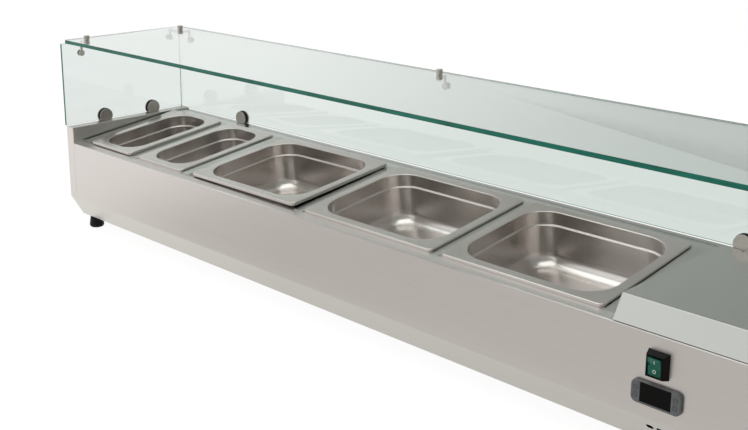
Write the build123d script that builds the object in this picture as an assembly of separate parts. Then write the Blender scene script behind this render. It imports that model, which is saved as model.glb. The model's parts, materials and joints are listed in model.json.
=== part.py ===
from build123d import *
import math
import os

os.makedirs("parts", exist_ok=True)

# Counter-top refrigerated topping display. Sizes are in millimetres and angles in degrees.
# X runs from the left end, Y from the upright front face to the back, Z from the floor,
# and the finished pieces are moved so that the origin is under the middle of the whole part.

# Body
body_length = 1800
body_depth = 335
foot_height = 28
end_height = 250
rail_drop = 4
fold_drop = 37.5
front_face_height = 133.5
chamfer_depth = 30
end_width = 28
sheet = 1.0
bend_radius = 2
edge_round = 1.2
return_width = 34
plate_set_in = 3
seat_gap = 0.3
overrun = 5

# Sloping deck that carries the pans
deck_tilt = 7.3
front_ledge_end = 30.5
rear_ledge_from_back = 59
rear_ledge_width = 14
ledge_step = 3
cover_shelf = 14

# Gastronorm pans. The row's spare length goes into the gaps before, between and after them.
narrow_pan_width = 162
wide_pan_width = 325
pan_front = 21
pan_back_gap = 49
pan_row_widths = [narrow_pan_width, narrow_pan_width, wide_pan_width, wide_pan_width, wide_pan_width]
pan_gap_shares = [42, 30, 37.5, 27.5, 19.5]
last_gap_share = 30.5
least_pan_gap = 12
pan_side_tilts = [0, 0, -0.5, 0, 0]
pan_front_tilts = [0.35, 0, 0.5, 0, 0]
pan_sheet = 0.9
rim_width = 18
rim_drop = 6
rim_corner = 10
pan_upper_depth = 26
pan_depth = 100
pan_shoulder = 3.5
pan_bottom_round = 18
narrow_mouth_round = 45
wide_mouth_round = 55
pan_draft = 4

# Loose bars that close the gaps between the pans
bar_side_gap = 1.5
bar_depth = 10
bar_rise = 1.5
bar_flange_inset = 6
bar_crown_width = 20
first_bar_gap = 6
last_bar_gap = 1.5
ledge_hole_radius = 2.4
ledge_hole_inset = 6.5

# Inner well, insulation and cold coil
machine_bay_length = 304
well_left = 62
well_front = 31
well_back_gap = 54
well_depth = 136.5
well_flange = 14
coil_radius = 4
coil_first_rise = 24
coil_turn_pitch = 30
coil_turn_count = 3
coil_bend = 20
foam_gap = 0.5
foam_drop = 14
drain_x = 120
drain_tube_radius = 11
drain_bore_radius = 8
drain_flange_radius = 18
drain_flange = 2
drain_end_height = 18
plug_depth = 12
plug_cap_radius = 12
plug_cap = 3
plug_gap = 0.3

# Machine compartment and its cover
cover_length = 286
cover_lean = 23
cover_lip = 1.6
cover_back_gap = 14
cover_foot = 12
cover_end_gap = 0.5
partition_gap = 1

# Rocker switch, on the front face
switch_from_end = 206
switch_drop = 43.2
hood_base_width = 35
hood_base_height = 40
hood_front_width = 27
hood_front_height = 34
hood_proud = 13
rocker_width = 21
rocker_height = 28
rocker_pocket_gap = 0.5
rocker_swing_room = 1.3
rocker_pivot_out = 6
rocker_thickness = 9.5
rocker_dish = 1.0
rocker_tilt = 6
rocker_pin_radius = 1.5
rocker_pin_reach = 2
rocker_pin_play = 0.08
switch_body_width = 20
switch_body_height = 28
switch_body_depth = 24
cutout_gap = 0.5

# Thermostat, on the front face under the switch
thermostat_from_end = 205.2
thermostat_drop = 92.2
bezel_width = 81
bezel_height = 36
bezel_proud = 6
bezel_corner = 9
bezel_edge = 2
thermostat_body_width = 70
thermostat_body_height = 28
thermostat_body_depth = 60
window_width = 51
window_height = 31
window_lift = 1.0
window_thickness = 1.4
window_recess = 0.8
window_gap = 0.1
key_width = 6
key_height = 7.5
key_round = 2
key_thickness = 2.4
key_proud = 0.3
key_travel = 0.6
key_gap = 0.2
key_inset = 8.2
key_spread = 12

# Vent holes in the chamfer and slots in the right end
vent_length = 12
vent_height = 8
vent_pitch = 17
vent_first_from_end = 219
vent_drop = 18
vent_margin = 20
slot_length = 78
slot_height = 5
slot_pitch = 13
slot_rows = 10
slot_first_height = 66
slot_front = 80
slot_column_pitch = 105
slot_column_count = 2

# Glass
glass_height = 455
top_glass = 8
side_glass = 6
top_glass_front = 8
top_glass_corner = 5
glass_inset = 2
back_glass_inset = 1
end_glass_overhang = 4

# Glass holders
holder_radius = 17.2
holder_height = 28.5
holder_plate = 4
holder_edge = 0.8
gasket = 1.2
gasket_rim = 0.7
glass_play = 0.15
saddle = 3
saddle_share = 0.6
end_holder_front = 102
end_holder_back_gap = 96.5
back_holder_inset = 251.5
holder_hole_share = 0.25

# Glass connectors
stud_radius = 3
stud_play = 0.4
disc_radius = 6.5
disc_thickness = 10
cap_thickness = 4
stack_cap_thickness = 10
knob_radius = 7
knob_thickness = 5
neck_radius = 2.6
cap_round = 1.2
front_connector_x = 36
front_connector_y = 46
front_knob_y = 46
front_knob_drop = 34
rear_connector_x = 54
rear_connector_back_gap = 37
rear_end_knob_drop = 30
rear_back_knob_drop = 36
middle_connector_back_gap = 27
middle_knob_drop = 33

# Compressor
compressor_bay_gap = 18.5
compressor_fan_gap = 7.2
compressor_front = 112
compressor_back_gap = 37
compressor_height = 146
compressor_round = 26
seam_width = 3
seam_height = 6
mount_end_reach = 14
mount_side_reach = 10
mount_sheet = 3
grommet_height = 9
grommet_radius = 10
grommet_inset = 14
mount_bolt_radius = 3
mount_bolt_play = 0.4
mount_nut_radius = 5.5
mount_nut = 4
relay_width = 52
relay_depth = 20
relay_height = 62
relay_base = 96

# Condenser, fan and pipes
condenser_from_end = 62
condenser_depth = 26
condenser_front = 80
condenser_back_gap = 45
condenser_floor_gap = 10
condenser_headroom = 42
fin_pitch = 6
fin = 0.5
condenser_tube_radius = 4
condenser_pass_count = 6
condenser_tube_reach = 13
fin_tube_gap = 0.15
fan_offset = 15
fan_tip_gap = 4
fan_hub_radius = 16
fan_hub_length = 16
fan_blade_count = 5
fan_blade_chord = 34
fan_blade_sheet = 1.6
fan_blade_pitch = 32
fan_shaft_radius = 2.5
fan_shaft_play = 0.05
fan_motor_radius = 23
fan_motor_length = 36
fan_motor_gap = 5
shroud_depth = 11
shroud_ring = 16
shroud_sheet = 1.2
shroud_rim = 10
bracket_arm_width = 9
bracket_sheet = 2.5
drier_radius = 9
drier_length = 72
drier_neck = 8
drier_round_share = 0.33
discharge_radius = 3
capillary_radius = 1.6
pipe_turn = 15
suction_back_gap = 17
probe_radius = 3
probe_length = 40
probe_rise = 44

# Electrical entry
terminal_box_from_end = 128
terminal_box_width = 58
terminal_box_depth = 30
terminal_box_height = 70
terminal_box_base = 76
gland_from_end = 100
gland_height = 52
gland_radius = 9
gland_bore_radius = 4.5
gland_flange_radius = 13
gland_flange = 3
gland_proud = 9
gland_inner = 12

# Feet and fasteners
foot_inset_x = 37
foot_inset_y = 44
foot_top_radius = 14
foot_bottom_radius = 18
foot_round = 6
foot_recess_radius = 8.5
foot_recess = 9
foot_bolt_radius = 4
foot_bolt_play = 0.3
foot_head_radius = 7
foot_head = 5
foot_nut = 6
plate_screw_radius = 2
plate_screw_head_radius = 4
plate_screw_head = 1.8
plate_screw_reach = 3.3
plate_screw_count = 6
plate_screw_inset = 110
screw_line_share = 0.6
cover_screw_count = 3
cover_screw_inset = 40

# Places that follow from the sizes above
rail_height = end_height - rail_drop
fold_height = end_height - fold_drop
crease_height = fold_height - front_face_height
rear_ledge_start = body_depth - rear_ledge_from_back
rear_ledge_end = rear_ledge_start + rear_ledge_width
pan_length = body_depth - pan_front - pan_back_gap
well_right = body_length - machine_bay_length
well_back = body_depth - well_back_gap
well_floor = fold_height - well_depth
well_middle_y = (well_front + well_back) / 2
coil_levels = [well_floor + coil_first_rise + turn * coil_turn_pitch for turn in range(coil_turn_count)]
cover_left = body_length - cover_length
cover_back = body_depth - cover_back_gap
switch_x = body_length - switch_from_end
switch_height = fold_height - switch_drop
thermostat_x = body_length - thermostat_from_end
thermostat_height = fold_height - thermostat_drop
vent_first_x = body_length - vent_first_from_end
rear_connector_y = body_depth - rear_connector_back_gap
middle_connector_y = body_depth - middle_connector_back_gap
terminal_box_left = body_length - terminal_box_from_end
gland_x = body_length - gland_from_end
suction_run_y = body_depth - suction_back_gap
tilt = math.radians(deck_tilt)
deck = Plane(origin=(0, 0, fold_height), x_dir=(1, 0, 0), z_dir=(0, -math.sin(tilt), math.cos(tilt)))
inner_left = end_width
inner_right = body_length - end_width
plate_base = foot_height + sheet
plate_top = plate_base + sheet
glass_under = glass_height - top_glass
end_glass_base = end_height + saddle + seat_gap
back_glass_base = max(rail_height + saddle, end_height) + seat_gap
back_glass_out = body_depth - back_glass_inset
back_glass_in = back_glass_out - side_glass
coil_offset = coil_radius + seat_gap
overall_front = -hood_proud - seat_gap
overall_back = body_depth + gland_proud
middle_y = (overall_front + overall_back) / 2
bar_tops = sheet + seat_gap

# The condenser, the fan behind it, and the compressor in the room that they leave
condenser_left = body_length - condenser_from_end
condenser_back = body_depth - condenser_back_gap
condenser_base = plate_top + condenser_floor_gap
condenser_top = end_height - condenser_headroom
condenser_pass_pitch = (condenser_top - condenser_base) / condenser_pass_count
fan_y = (condenser_front + condenser_back) / 2 - fan_offset
fan_height = (condenser_base + condenser_top) / 2
fan_room = min(fan_y - condenser_front, condenser_back - fan_y, fan_height - condenser_base)
fan_radius = fan_room - shroud_rim - fan_tip_gap
fan_motor_end = condenser_left - seat_gap - shroud_depth - fan_hub_length - fan_motor_gap
compressor_left = cover_left + compressor_bay_gap
compressor_width = fan_motor_end - fan_motor_length - compressor_fan_gap - compressor_left
compressor_x = compressor_left + compressor_width / 2
compressor_length = body_depth - compressor_front - compressor_back_gap
compressor_y = compressor_front + compressor_length / 2
mount_length = compressor_length + 2 * mount_end_reach
mount_width = compressor_width + 2 * mount_side_reach


def to_frame(shape):
    """Moves a piece from the corner it was drawn from to the part's own origin."""
    return Pos(-body_length / 2, -middle_y, 0) * shape


def save(name, *pieces):
    """Writes one node: a single solid, or a group of separate ones."""
    solids = [solid for piece in pieces for solid in piece.solids()]
    shape = solids[0] if len(solids) == 1 else Compound(solids)
    export_step(to_frame(shape), f"parts/{name}.step")


def block(x0, y0, z0, x1, y1, z1):
    return Pos((x0 + x1) / 2, (y0 + y1) / 2, (z0 + z1) / 2) * Box(x1 - x0, y1 - y0, z1 - z0)


def rod(start, direction, radius, length):
    base = Plane(origin=start, z_dir=direction)
    return base * Cylinder(radius, length, align=(Align.CENTER, Align.CENTER, Align.MIN))


def rod_between(start, end, radius):
    span = Vector(*end) - Vector(*start)
    return rod(start, tuple(span), radius, span.length)


def prism_x(points, x0, x1):
    """A prism along X from an outline in Y and Z."""
    face = make_face(Polyline(*points, close=True))
    return Pos(x0, 0, 0) * extrude(Plane.YZ * face, x1 - x0)


def folded_sheet(points, x0, x1, side):
    """Folded sheet metal along X: the outline is its outer skin, and the sheet lies on one side of it."""
    line = FilletPolyline(*points, radius=bend_radius)
    face = make_face(line.offset_2d(sheet, side=side))
    return Pos(x0, 0, 0) * extrude(Plane.YZ * face, x1 - x0)


def pipe(points, radius, bend):
    """A tube along straight runs that join in arcs."""
    path = FilletPolyline(*points, radius=bend)
    start = Plane(origin=path @ 0, z_dir=path % 0)
    return sweep(start * Circle(radius), path=path)


def deck_point(along, above=0):
    """Y and Z of a place on the sloping deck."""
    y = along * math.cos(tilt) - above * math.sin(tilt)
    z = fold_height + along * math.sin(tilt) + above * math.cos(tilt)
    return (y, z)


def under_deck(shape, drop):
    """Cuts away everything higher than a plane that lies below the deck."""
    size = body_length + overrun
    slab = deck * block(-overrun, -body_depth, -drop, size, 2 * body_depth, body_depth)
    return shape - slab


def pans_that_fit():
    """Widths of the pans, from the left, that the row has room for."""
    room = cover_left - inner_left - least_pan_gap
    widths = []
    for width in pan_row_widths:
        room -= width + least_pan_gap
        if room < 0:
            break
        widths.append(width)
    return widths


def pan_left_edges():
    """Left edge of each rim, with the spare length shared out over the gaps."""
    shares = pan_gap_shares[:len(pan_widths)]
    spare = cover_left - inner_left - sum(pan_widths)
    whole = sum(shares) + last_gap_share
    edges = []
    reached = inner_left
    for width, share in zip(pan_widths, shares):
        reached += spare * share / whole
        edges.append(reached)
        reached += width
    return edges


pan_widths = pans_that_fit()
pan_lefts = pan_left_edges()


def foot_places():
    for x in (foot_inset_x, body_length - foot_inset_x):
        for y in (foot_inset_y, body_depth - foot_inset_y):
            yield x, y


def plate_screw_places():
    span = body_length - 2 * plate_screw_inset
    for index in range(plate_screw_count):
        x = plate_screw_inset + span * index / (plate_screw_count - 1)
        yield x, chamfer_depth + return_width * screw_line_share
        yield x, body_depth - return_width * screw_line_share


def plate_holes():
    """Holes for the feet bolts and plate screws, through the folded returns and the bottom plate."""
    holes = []
    for x, y in foot_places():
        reach = foot_bolt_radius + foot_bolt_play
        holes.append(rod((x, y, foot_height - overrun), (0, 0, 1), reach, 2 * overrun + 2 * sheet))
    for x, y in plate_screw_places():
        reach = plate_screw_radius + seat_gap
        holes.append(rod((x, y, foot_height - overrun), (0, 0, 1), reach, 2 * overrun + 2 * sheet))
    return holes


def on_front(x, z):
    """A frame on the front face whose z points out toward the operator."""
    return Plane(origin=(x, 0, z), x_dir=(1, 0, 0), z_dir=(0, -1, 0))


def front_panel():
    chamfer_end = chamfer_depth + return_width
    outline = [
        deck_point(front_ledge_end),
        (0, fold_height),
        (0, crease_height),
        (chamfer_depth, foot_height),
        (chamfer_end, foot_height),
    ]
    panel = folded_sheet(outline, inner_left, inner_right, Side.LEFT)
    shelf_cut = block(cover_left, -overrun, -overrun, inner_right + overrun, body_depth, overrun)
    panel -= deck * Pos(0, cover_shelf + overrun, 0) * shelf_cut
    switch_hole = Box(switch_body_width + cutout_gap, switch_body_height + cutout_gap, 2 * overrun)
    panel -= on_front(switch_x, switch_height) * switch_hole
    body_hole = Box(thermostat_body_width + cutout_gap, thermostat_body_height + cutout_gap, 2 * overrun)
    panel -= on_front(thermostat_x, thermostat_height) * body_hole
    fall = foot_height - crease_height
    chamfer = Plane(origin=(0, 0, crease_height), x_dir=(1, 0, 0), z_dir=(0, fall, -chamfer_depth))
    vent = extrude(SlotOverall(vent_length, vent_height), overrun, both=True)
    last_x = inner_right - vent_margin
    count = int((last_x - vent_first_x) / vent_pitch) + 1
    for index in range(count):
        panel -= chamfer * Pos(vent_first_x + index * vent_pitch, -vent_drop, 0) * vent
    for hole in plate_holes():
        panel -= hole
    return panel


def ledge_hole():
    """The small hole through the wide bar and the ledge under it, at the far corner of the third pan."""
    place = Pos(pan_lefts[2] - ledge_hole_inset, (rear_ledge_start + rear_ledge_end) / 2, 0)
    return deck * place * Cylinder(ledge_hole_radius, 2 * overrun)


def rear_panel():
    step_y, step_z = deck_point(rear_ledge_end)
    outline = [
        deck_point(rear_ledge_start),
        (step_y, step_z),
        (step_y + ledge_step, rail_height),
        (body_depth, rail_height),
        (body_depth, foot_height),
        (body_depth - return_width, foot_height),
    ]
    line = Polyline(*outline)
    face = make_face(line.offset_2d(sheet, side=Side.RIGHT))
    panel = Pos(inner_left, 0, 0) * extrude(Plane.YZ * face, inner_right - inner_left)
    step_end = step_y + ledge_step + bend_radius
    panel -= block(cover_left, 0, rail_height - 2 * overrun, inner_right, step_end, end_height)
    panel -= ledge_hole()
    gland_start = (gland_x, body_depth - 2 * overrun, gland_height)
    panel -= rod(gland_start, (0, 1, 0), gland_radius + seat_gap, 3 * overrun)
    for x, y in cover_screw_places():
        panel -= rod((x, y, rail_height - overrun), (0, 0, 1), plate_screw_radius + seat_gap, 2 * overrun)
    for hole in plate_holes():
        panel -= hole
    return panel


def end_sleeve():
    """A folded box, 28 wide, that is open underneath."""
    outline = [
        (0, end_height),
        (0, crease_height),
        (chamfer_depth, foot_height),
        (body_depth, foot_height),
        (body_depth, end_height),
    ]
    face = make_face(Polyline(*outline, close=True))
    sleeve = extrude(Plane.YZ * face, end_width)
    rim = sleeve.faces().sort_by(Axis.X)[0].edges() + sleeve.faces().sort_by(Axis.X)[-1].edges()
    sleeve = fillet(rim, edge_round)
    inside = Pos(sheet, 0, 0) * extrude(Plane.YZ * offset(face, -sheet), end_width - 2 * sheet)
    mouth = block(sheet, chamfer_depth + sheet, 0, end_width - sheet, body_depth - sheet, plate_top)
    return sleeve - inside - mouth


def right_end_sleeve():
    sleeve = Pos(body_length, 0, 0) * mirror(end_sleeve(), about=Plane.YZ)
    slot = Plane.YZ * SlotOverall(slot_length, slot_height)
    slot = extrude(slot, end_width + overrun, both=True)
    for column in range(slot_column_count):
        middle = slot_front + column * slot_column_pitch + slot_length / 2
        for row in range(slot_rows):
            height = slot_first_height + row * slot_pitch
            sleeve -= Pos(body_length, middle, height) * slot
    return sleeve


def bottom_plate():
    front = chamfer_depth + plate_set_in
    plate = block(inner_left, front, plate_base, inner_right, body_depth - sheet - seat_gap, plate_top)
    for hole in plate_holes():
        plate -= hole
    plate -= rod((drain_x, well_middle_y, 0), (0, 0, 1), drain_tube_radius + seat_gap, well_floor)
    return plate


def well():
    """The tank that the pans hang in: a floor plate, and on it straight walls between corner pieces."""
    walls = block(
        well_left - sheet, well_front - sheet, well_floor - sheet,
        well_right + sheet, well_back + sheet, end_height + overrun,
    )
    corner = coil_bend - coil_offset
    walls = fillet(walls.edges().filter_by(Axis.Z), corner)
    inside = block(well_left, well_front, well_floor, well_right, well_back, end_height + 2 * overrun)
    inside = fillet(inside.edges().filter_by(Axis.Z), corner - sheet)
    front_edge = front_ledge_end - well_flange
    back_edge = rear_ledge_start + well_flange - bend_radius
    flange = deck * block(
        well_left - 2 * well_flange, front_edge, -2 * sheet,
        well_right + well_flange, back_edge, -sheet,
    )
    tank = under_deck(walls, sheet) + flange
    tank -= inside
    drain_start = (drain_x, well_middle_y, well_floor - overrun)
    tank -= rod(drain_start, (0, 0, 1), drain_tube_radius + seat_gap, 2 * overrun)
    floor_level = block(0, 0, 0, body_length, body_depth, well_floor)
    walls = tank - floor_level
    across = [0, well_left + corner, well_right - corner, body_length]
    along = [0, well_front + corner, well_back - corner, body_depth]
    pieces = [tank & floor_level]
    for column in range(3):
        for row in range(3):
            if (column, row) != (1, 1):
                pieces.append(walls & block(
                    across[column], along[row], 0, across[column + 1], along[row + 1], end_height,
                ))
    return pieces


def foam_block():
    """Foam between the well and the body sheets, hollow for the well and its coil."""
    clear = sheet + foam_gap
    outline = [
        (clear, fold_height - 2 * overrun),
        (clear, crease_height),
        (chamfer_depth + clear, plate_top + foam_gap),
        (body_depth - clear, plate_top + foam_gap),
        (body_depth - clear, rail_height - clear),
        (clear, rail_height - clear),
    ]
    foam = prism_x(outline, inner_left + foam_gap, cover_left - partition_gap - sheet - foam_gap)
    foam = under_deck(foam, foam_drop)
    hollow = coil_offset + coil_radius + sheet + foam_gap
    foam -= block(
        well_left - hollow, well_front - hollow, well_floor - sheet - foam_gap,
        well_right + hollow, well_back + hollow, end_height,
    )
    for y, z in ((coil_front_y(), coil_levels[0]), (coil_back_y(), coil_levels[-1])):
        foam -= rod((well_right, y, z), (1, 0, 0), coil_radius + foam_gap, cover_left - well_right)
    foam -= rod((drain_x, well_middle_y, 0), (0, 0, 1), drain_tube_radius + foam_gap, well_floor)
    for x, y in foot_places():
        foam -= rod((x, y, 0), (0, 0, 1), foot_head_radius + foam_gap, foot_bolt_end() + foam_gap)
    for x, y in plate_screw_places():
        foam -= rod((x, y, 0), (0, 0, 1), plate_screw_radius + foam_gap, foot_height + plate_screw_reach)
    return foam


def foot_bolt_end():
    return plate_top + seat_gap + foot_nut + sheet


def coil_front_y():
    return well_front - sheet - coil_offset


def coil_back_y():
    return well_back + sheet + coil_offset


def coil_tail_x():
    return cover_left + coil_bend - overrun


def cold_coil():
    left = well_left - sheet - coil_offset
    right = well_right + sheet + coil_offset
    points = [(coil_tail_x(), coil_front_y(), coil_levels[0])]
    for index, level in enumerate(coil_levels):
        points.append((left, coil_front_y(), level))
        points.append((left, coil_back_y(), level))
        if index < len(coil_levels) - 1:
            points.append((right, coil_back_y(), level))
            points.append((right, coil_front_y(), coil_levels[index + 1]))
    points.append((coil_tail_x(), coil_back_y(), coil_levels[-1]))
    return pipe(points, coil_radius, coil_bend)


def drain_fitting():
    tube_length = well_floor - drain_end_height
    start = (drain_x, well_middle_y, drain_end_height)
    fitting = rod(start, (0, 0, 1), drain_tube_radius, tube_length)
    seat = drain_plug_seat() - seat_gap - drain_flange
    fitting += rod((drain_x, well_middle_y, seat), (0, 0, 1), drain_flange_radius, drain_flange)
    neck_start = (drain_x, well_middle_y, seat - overrun)
    fitting += rod(neck_start, (0, 0, 1), drain_tube_radius, overrun + drain_flange)
    fitting -= rod((drain_x, well_middle_y, 0), (0, 0, 1), drain_bore_radius, well_floor + overrun)
    return fitting


def drain_plug_seat():
    return well_floor + drain_flange + 2 * seat_gap


def drain_plug():
    seat = drain_plug_seat()
    plug = rod((drain_x, well_middle_y, seat), (0, 0, 1), plug_cap_radius, plug_cap)
    stem_start = (drain_x, well_middle_y, seat - plug_depth)
    return plug + rod(stem_start, (0, 0, 1), drain_bore_radius - plug_gap, plug_depth)


def partition():
    clear = sheet + foam_gap
    outline = [
        (clear, fold_height - clear),
        (clear, crease_height),
        (chamfer_depth + clear, plate_top),
        (body_depth - sheet - seat_gap, plate_top),
        (body_depth - sheet - seat_gap, rail_height - sheet - seat_gap),
        (rear_ledge_end, rail_height - sheet - seat_gap),
        deck_point(rear_ledge_start - 2 * overrun, -2 * clear),
        deck_point(2 * overrun, -2 * clear),
    ]
    wall = prism_x(outline, cover_left - partition_gap - sheet, cover_left - partition_gap)
    for y, z in ((coil_front_y(), coil_levels[0]), (coil_back_y(), coil_levels[-1])):
        reach = cover_left - well_right + overrun
        wall -= rod((well_right, y, z), (1, 0, 0), coil_radius + foam_gap, reach)
    return wall


def bar_spans():
    """Left and right edge of each loose bar, from the gaps that the pans leave."""
    yield inner_left + first_bar_gap, pan_lefts[0] - bar_side_gap
    for index in range(len(pan_lefts) - 1):
        left = pan_lefts[index] + pan_widths[index] + bar_side_gap
        yield left, pan_lefts[index + 1] - bar_side_gap
    yield pan_lefts[-1] + pan_widths[-1] + bar_side_gap, cover_left - last_bar_gap


def loose_bar(left, right, crowned):
    """A channel turned down over the well, with ends that lie on the two ledges."""
    back = pan_front + pan_length
    top = block(left, pan_front, seat_gap, right, back, bar_tops)
    top = fillet(top.edges().filter_by(Axis.Z), sheet)
    flange_front = front_ledge_end + bar_flange_inset
    flange_back = rear_ledge_start - bar_flange_inset
    bar = top
    for x in (left, right - sheet):
        if not well_left < x < well_right - sheet:
            continue
        bar += block(x, flange_front, bar_tops - bar_depth, x + sheet, flange_back, bar_tops)
    if crowned:
        middle = (left + right) / 2
        crown = block(
            middle - bar_crown_width / 2, pan_front, sheet / 2,
            middle + bar_crown_width / 2, back, bar_tops + bar_rise,
        )
        bar += crown
        return deck * bar - ledge_hole()
    return deck * bar


def pan_tub(width, mouth_round, grow):
    """The hollow of a pan, or with grow its outside: a straight mouth, a shoulder and a tapered bowl."""
    mouth_width = width - 2 * rim_width
    mouth_length = pan_length - 2 * rim_width
    middle = Pos(width / 2, pan_length / 2, rim_drop)
    mouth = RectangleRounded(mouth_width + 2 * grow, mouth_length + 2 * grow, mouth_round + grow)
    upper = extrude(middle * mouth, -(pan_upper_depth + grow))
    bowl_round = mouth_round - pan_shoulder
    shrink = 2 * grow - 2 * pan_shoulder
    bowl = RectangleRounded(mouth_width + shrink, mouth_length + shrink, bowl_round + grow)
    bowl_place = Pos(0, 0, -pan_upper_depth) * middle
    lower = extrude(bowl_place * bowl, -(pan_depth - pan_upper_depth + grow), taper=pan_draft)
    lower = fillet(lower.faces().sort_by(Axis.Z)[0].edges(), pan_bottom_round + grow)
    return upper + lower


def pan_blank(width):
    """A pan whose rim's near left corner is at the origin, with the rim's lower edge at height zero."""
    mouth_round = narrow_mouth_round if width == narrow_pan_width else wide_mouth_round
    middle = Pos(width / 2, pan_length / 2, 0)
    rim = extrude(middle * RectangleRounded(width, pan_length, rim_corner), rim_drop)
    rim = fillet(rim.faces().sort_by(Axis.Z)[-1].edges(), edge_round)
    inner_width = width - 2 * pan_sheet
    inner_length = pan_length - 2 * pan_sheet
    hollow = RectangleRounded(inner_width, inner_length, rim_corner - pan_sheet)
    rim -= extrude(middle * hollow, rim_drop - pan_sheet)
    return rim + pan_tub(width, mouth_round, pan_sheet) - pan_tub(width, mouth_round, 0)


def pan_frame(index):
    """Where a pan sits: on the ledges, with the small tilts that it has in use."""
    width = pan_widths[index]
    side = math.radians(pan_side_tilts[index])
    lift = seat_gap
    place = Pos(pan_lefts[index], pan_front, lift)
    turn = Pos(0, pan_length, 0) * Rot(-pan_front_tilts[index], 0, 0) * Pos(0, -pan_length, 0)
    turn = Rot(0, math.degrees(side), 0) * turn
    return deck.location * place * turn


def cover():
    """The lid over the machine compartment: sloped front strip, level top, foot on the rear rail."""
    left = cover_left
    right = inner_right - cover_end_gap
    front_base = fold_height + cover_lip
    outline = [
        (sheet / 2, front_base),
        (cover_lean, end_height),
        (cover_back, end_height),
        (cover_back, rail_height + seat_gap),
        (cover_back - cover_foot, rail_height + seat_gap),
    ]
    line = FilletPolyline(*outline, radius=bend_radius / 2)
    face = make_face(line.offset_2d(sheet, side=Side.RIGHT))
    lid = Pos(left, 0, 0) * extrude(Plane.YZ * face, right - left)
    lift = sheet + seat_gap
    side_outline = [
        (sheet, front_base + sheet / 2),
        (cover_lean + sheet / 2, end_height - sheet / 2),
        (cover_back - sheet, end_height - sheet / 2),
        (cover_back - sheet, rail_height + lift),
        (rear_ledge_end + cover_foot / 2, rail_height + lift),
        deck_point(rear_ledge_start - 2 * overrun, -seat_gap),
        deck_point(cover_shelf, -seat_gap),
        deck_point(cover_shelf, seat_gap),
        deck_point(2 * sheet, seat_gap),
    ]
    lid += prism_x(side_outline, left, left + sheet)
    for x, y in cover_screw_places():
        lid -= rod((x, y, rail_height - overrun), (0, 0, 1), plate_screw_radius + seat_gap, 2 * overrun)
    return lid


def cover_screw_places():
    first = cover_left + cover_screw_inset
    span = inner_right - cover_screw_inset - first
    for index in range(cover_screw_count):
        yield first + span * index / (cover_screw_count - 1), cover_back - cover_foot / 2


def switch_housing():
    base = Pos(0, 0, seat_gap) * Rectangle(hood_base_width, hood_base_height)
    front = Pos(0, 0, hood_proud + seat_gap) * Rectangle(hood_front_width, hood_front_height)
    hood = loft([base.face(), front.face()], ruled=True)
    hood = fillet(hood.edges().filter_by(GeomType.LINE).group_by(SortBy.LENGTH)[0], edge_round)
    hood += Pos(0, 0, -switch_body_depth / 2 + seat_gap + sheet) * Box(
        switch_body_width, switch_body_height, switch_body_depth + 2 * sheet
    )
    pocket_width = rocker_width + 2 * rocker_pocket_gap
    pocket_height = rocker_height + 2 * rocker_swing_room
    pocket_floor = rocker_pivot_out - rocker_thickness / 2
    pocket_depth = hood_proud + overrun - pocket_floor
    hood -= Pos(0, 0, pocket_floor + pocket_depth / 2) * Box(pocket_width, pocket_height, pocket_depth)
    reach = rocker_width / 2 + rocker_pin_reach + seat_gap
    hood -= rod((-reach, 0, rocker_pivot_out), (1, 0, 0), rocker_pin_radius + rocker_pin_play, 2 * reach)
    return on_front(switch_x, switch_height) * hood


def switch_rocker():
    """The rocker rests with its lower end pressed in: off."""
    low = rocker_pivot_out - rocker_thickness / 3
    high = hood_proud + seat_gap
    half = rocker_height / 2
    outline = [(-half, low), (half, low), (half, high), (0, high - rocker_dish), (-half, high)]
    face = make_face(Polyline(*outline, close=True))
    rocker = Pos(-rocker_width / 2, 0, 0) * extrude(Plane.YZ * face, rocker_width)
    reach = rocker_width / 2 + rocker_pin_reach
    rocker += rod((-reach, 0, rocker_pivot_out), (1, 0, 0), rocker_pin_radius, 2 * reach)
    turn = Pos(0, 0, rocker_pivot_out) * Rot(rocker_tilt, 0, 0) * Pos(0, 0, -rocker_pivot_out)
    return on_front(switch_x, switch_height) * turn * rocker


def key_places():
    side = bezel_width / 2 - key_inset
    for x in (-side, side):
        for y in (key_spread / 2, -key_spread / 2):
            yield x, y


def thermostat():
    face = RectangleRounded(bezel_width, bezel_height, bezel_corner)
    bezel = Pos(0, 0, seat_gap) * extrude(face, bezel_proud)
    bezel = fillet(bezel.faces().sort_by(Axis.Z)[-1].edges(), bezel_edge)
    bezel += Pos(0, 0, -thermostat_body_depth / 2 + seat_gap + sheet) * Box(
        thermostat_body_width, thermostat_body_height, thermostat_body_depth + 2 * sheet
    )
    floor = seat_gap + bezel_proud - window_recess - window_thickness
    recess = Box(window_width, window_height, 2 * overrun)
    bezel -= Pos(0, window_lift, floor + overrun) * recess
    key_floor = seat_gap + bezel_proud + key_proud - key_thickness - key_travel - seat_gap
    hole = RectangleRounded(key_width + 2 * key_gap, key_height + 2 * key_gap, key_round + key_gap)
    for x, y in key_places():
        bezel -= Pos(x, y, key_floor) * extrude(hole, 2 * overrun)
    return on_front(thermostat_x, thermostat_height) * bezel


def thermostat_window():
    base = seat_gap + bezel_proud - window_recess - window_thickness
    pane = Box(window_width - 2 * window_gap, window_height - 2 * window_gap, window_thickness)
    place = Pos(0, window_lift, base + window_thickness / 2)
    return on_front(thermostat_x, thermostat_height) * place * pane


def thermostat_key(x, y):
    base = seat_gap + bezel_proud + key_proud - key_thickness
    key = extrude(RectangleRounded(key_width, key_height, key_round), key_thickness)
    key = chamfer(key.faces().sort_by(Axis.Z)[-1].edges(), key_proud)
    return on_front(thermostat_x, thermostat_height) * Pos(x, y, base) * key


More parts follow.
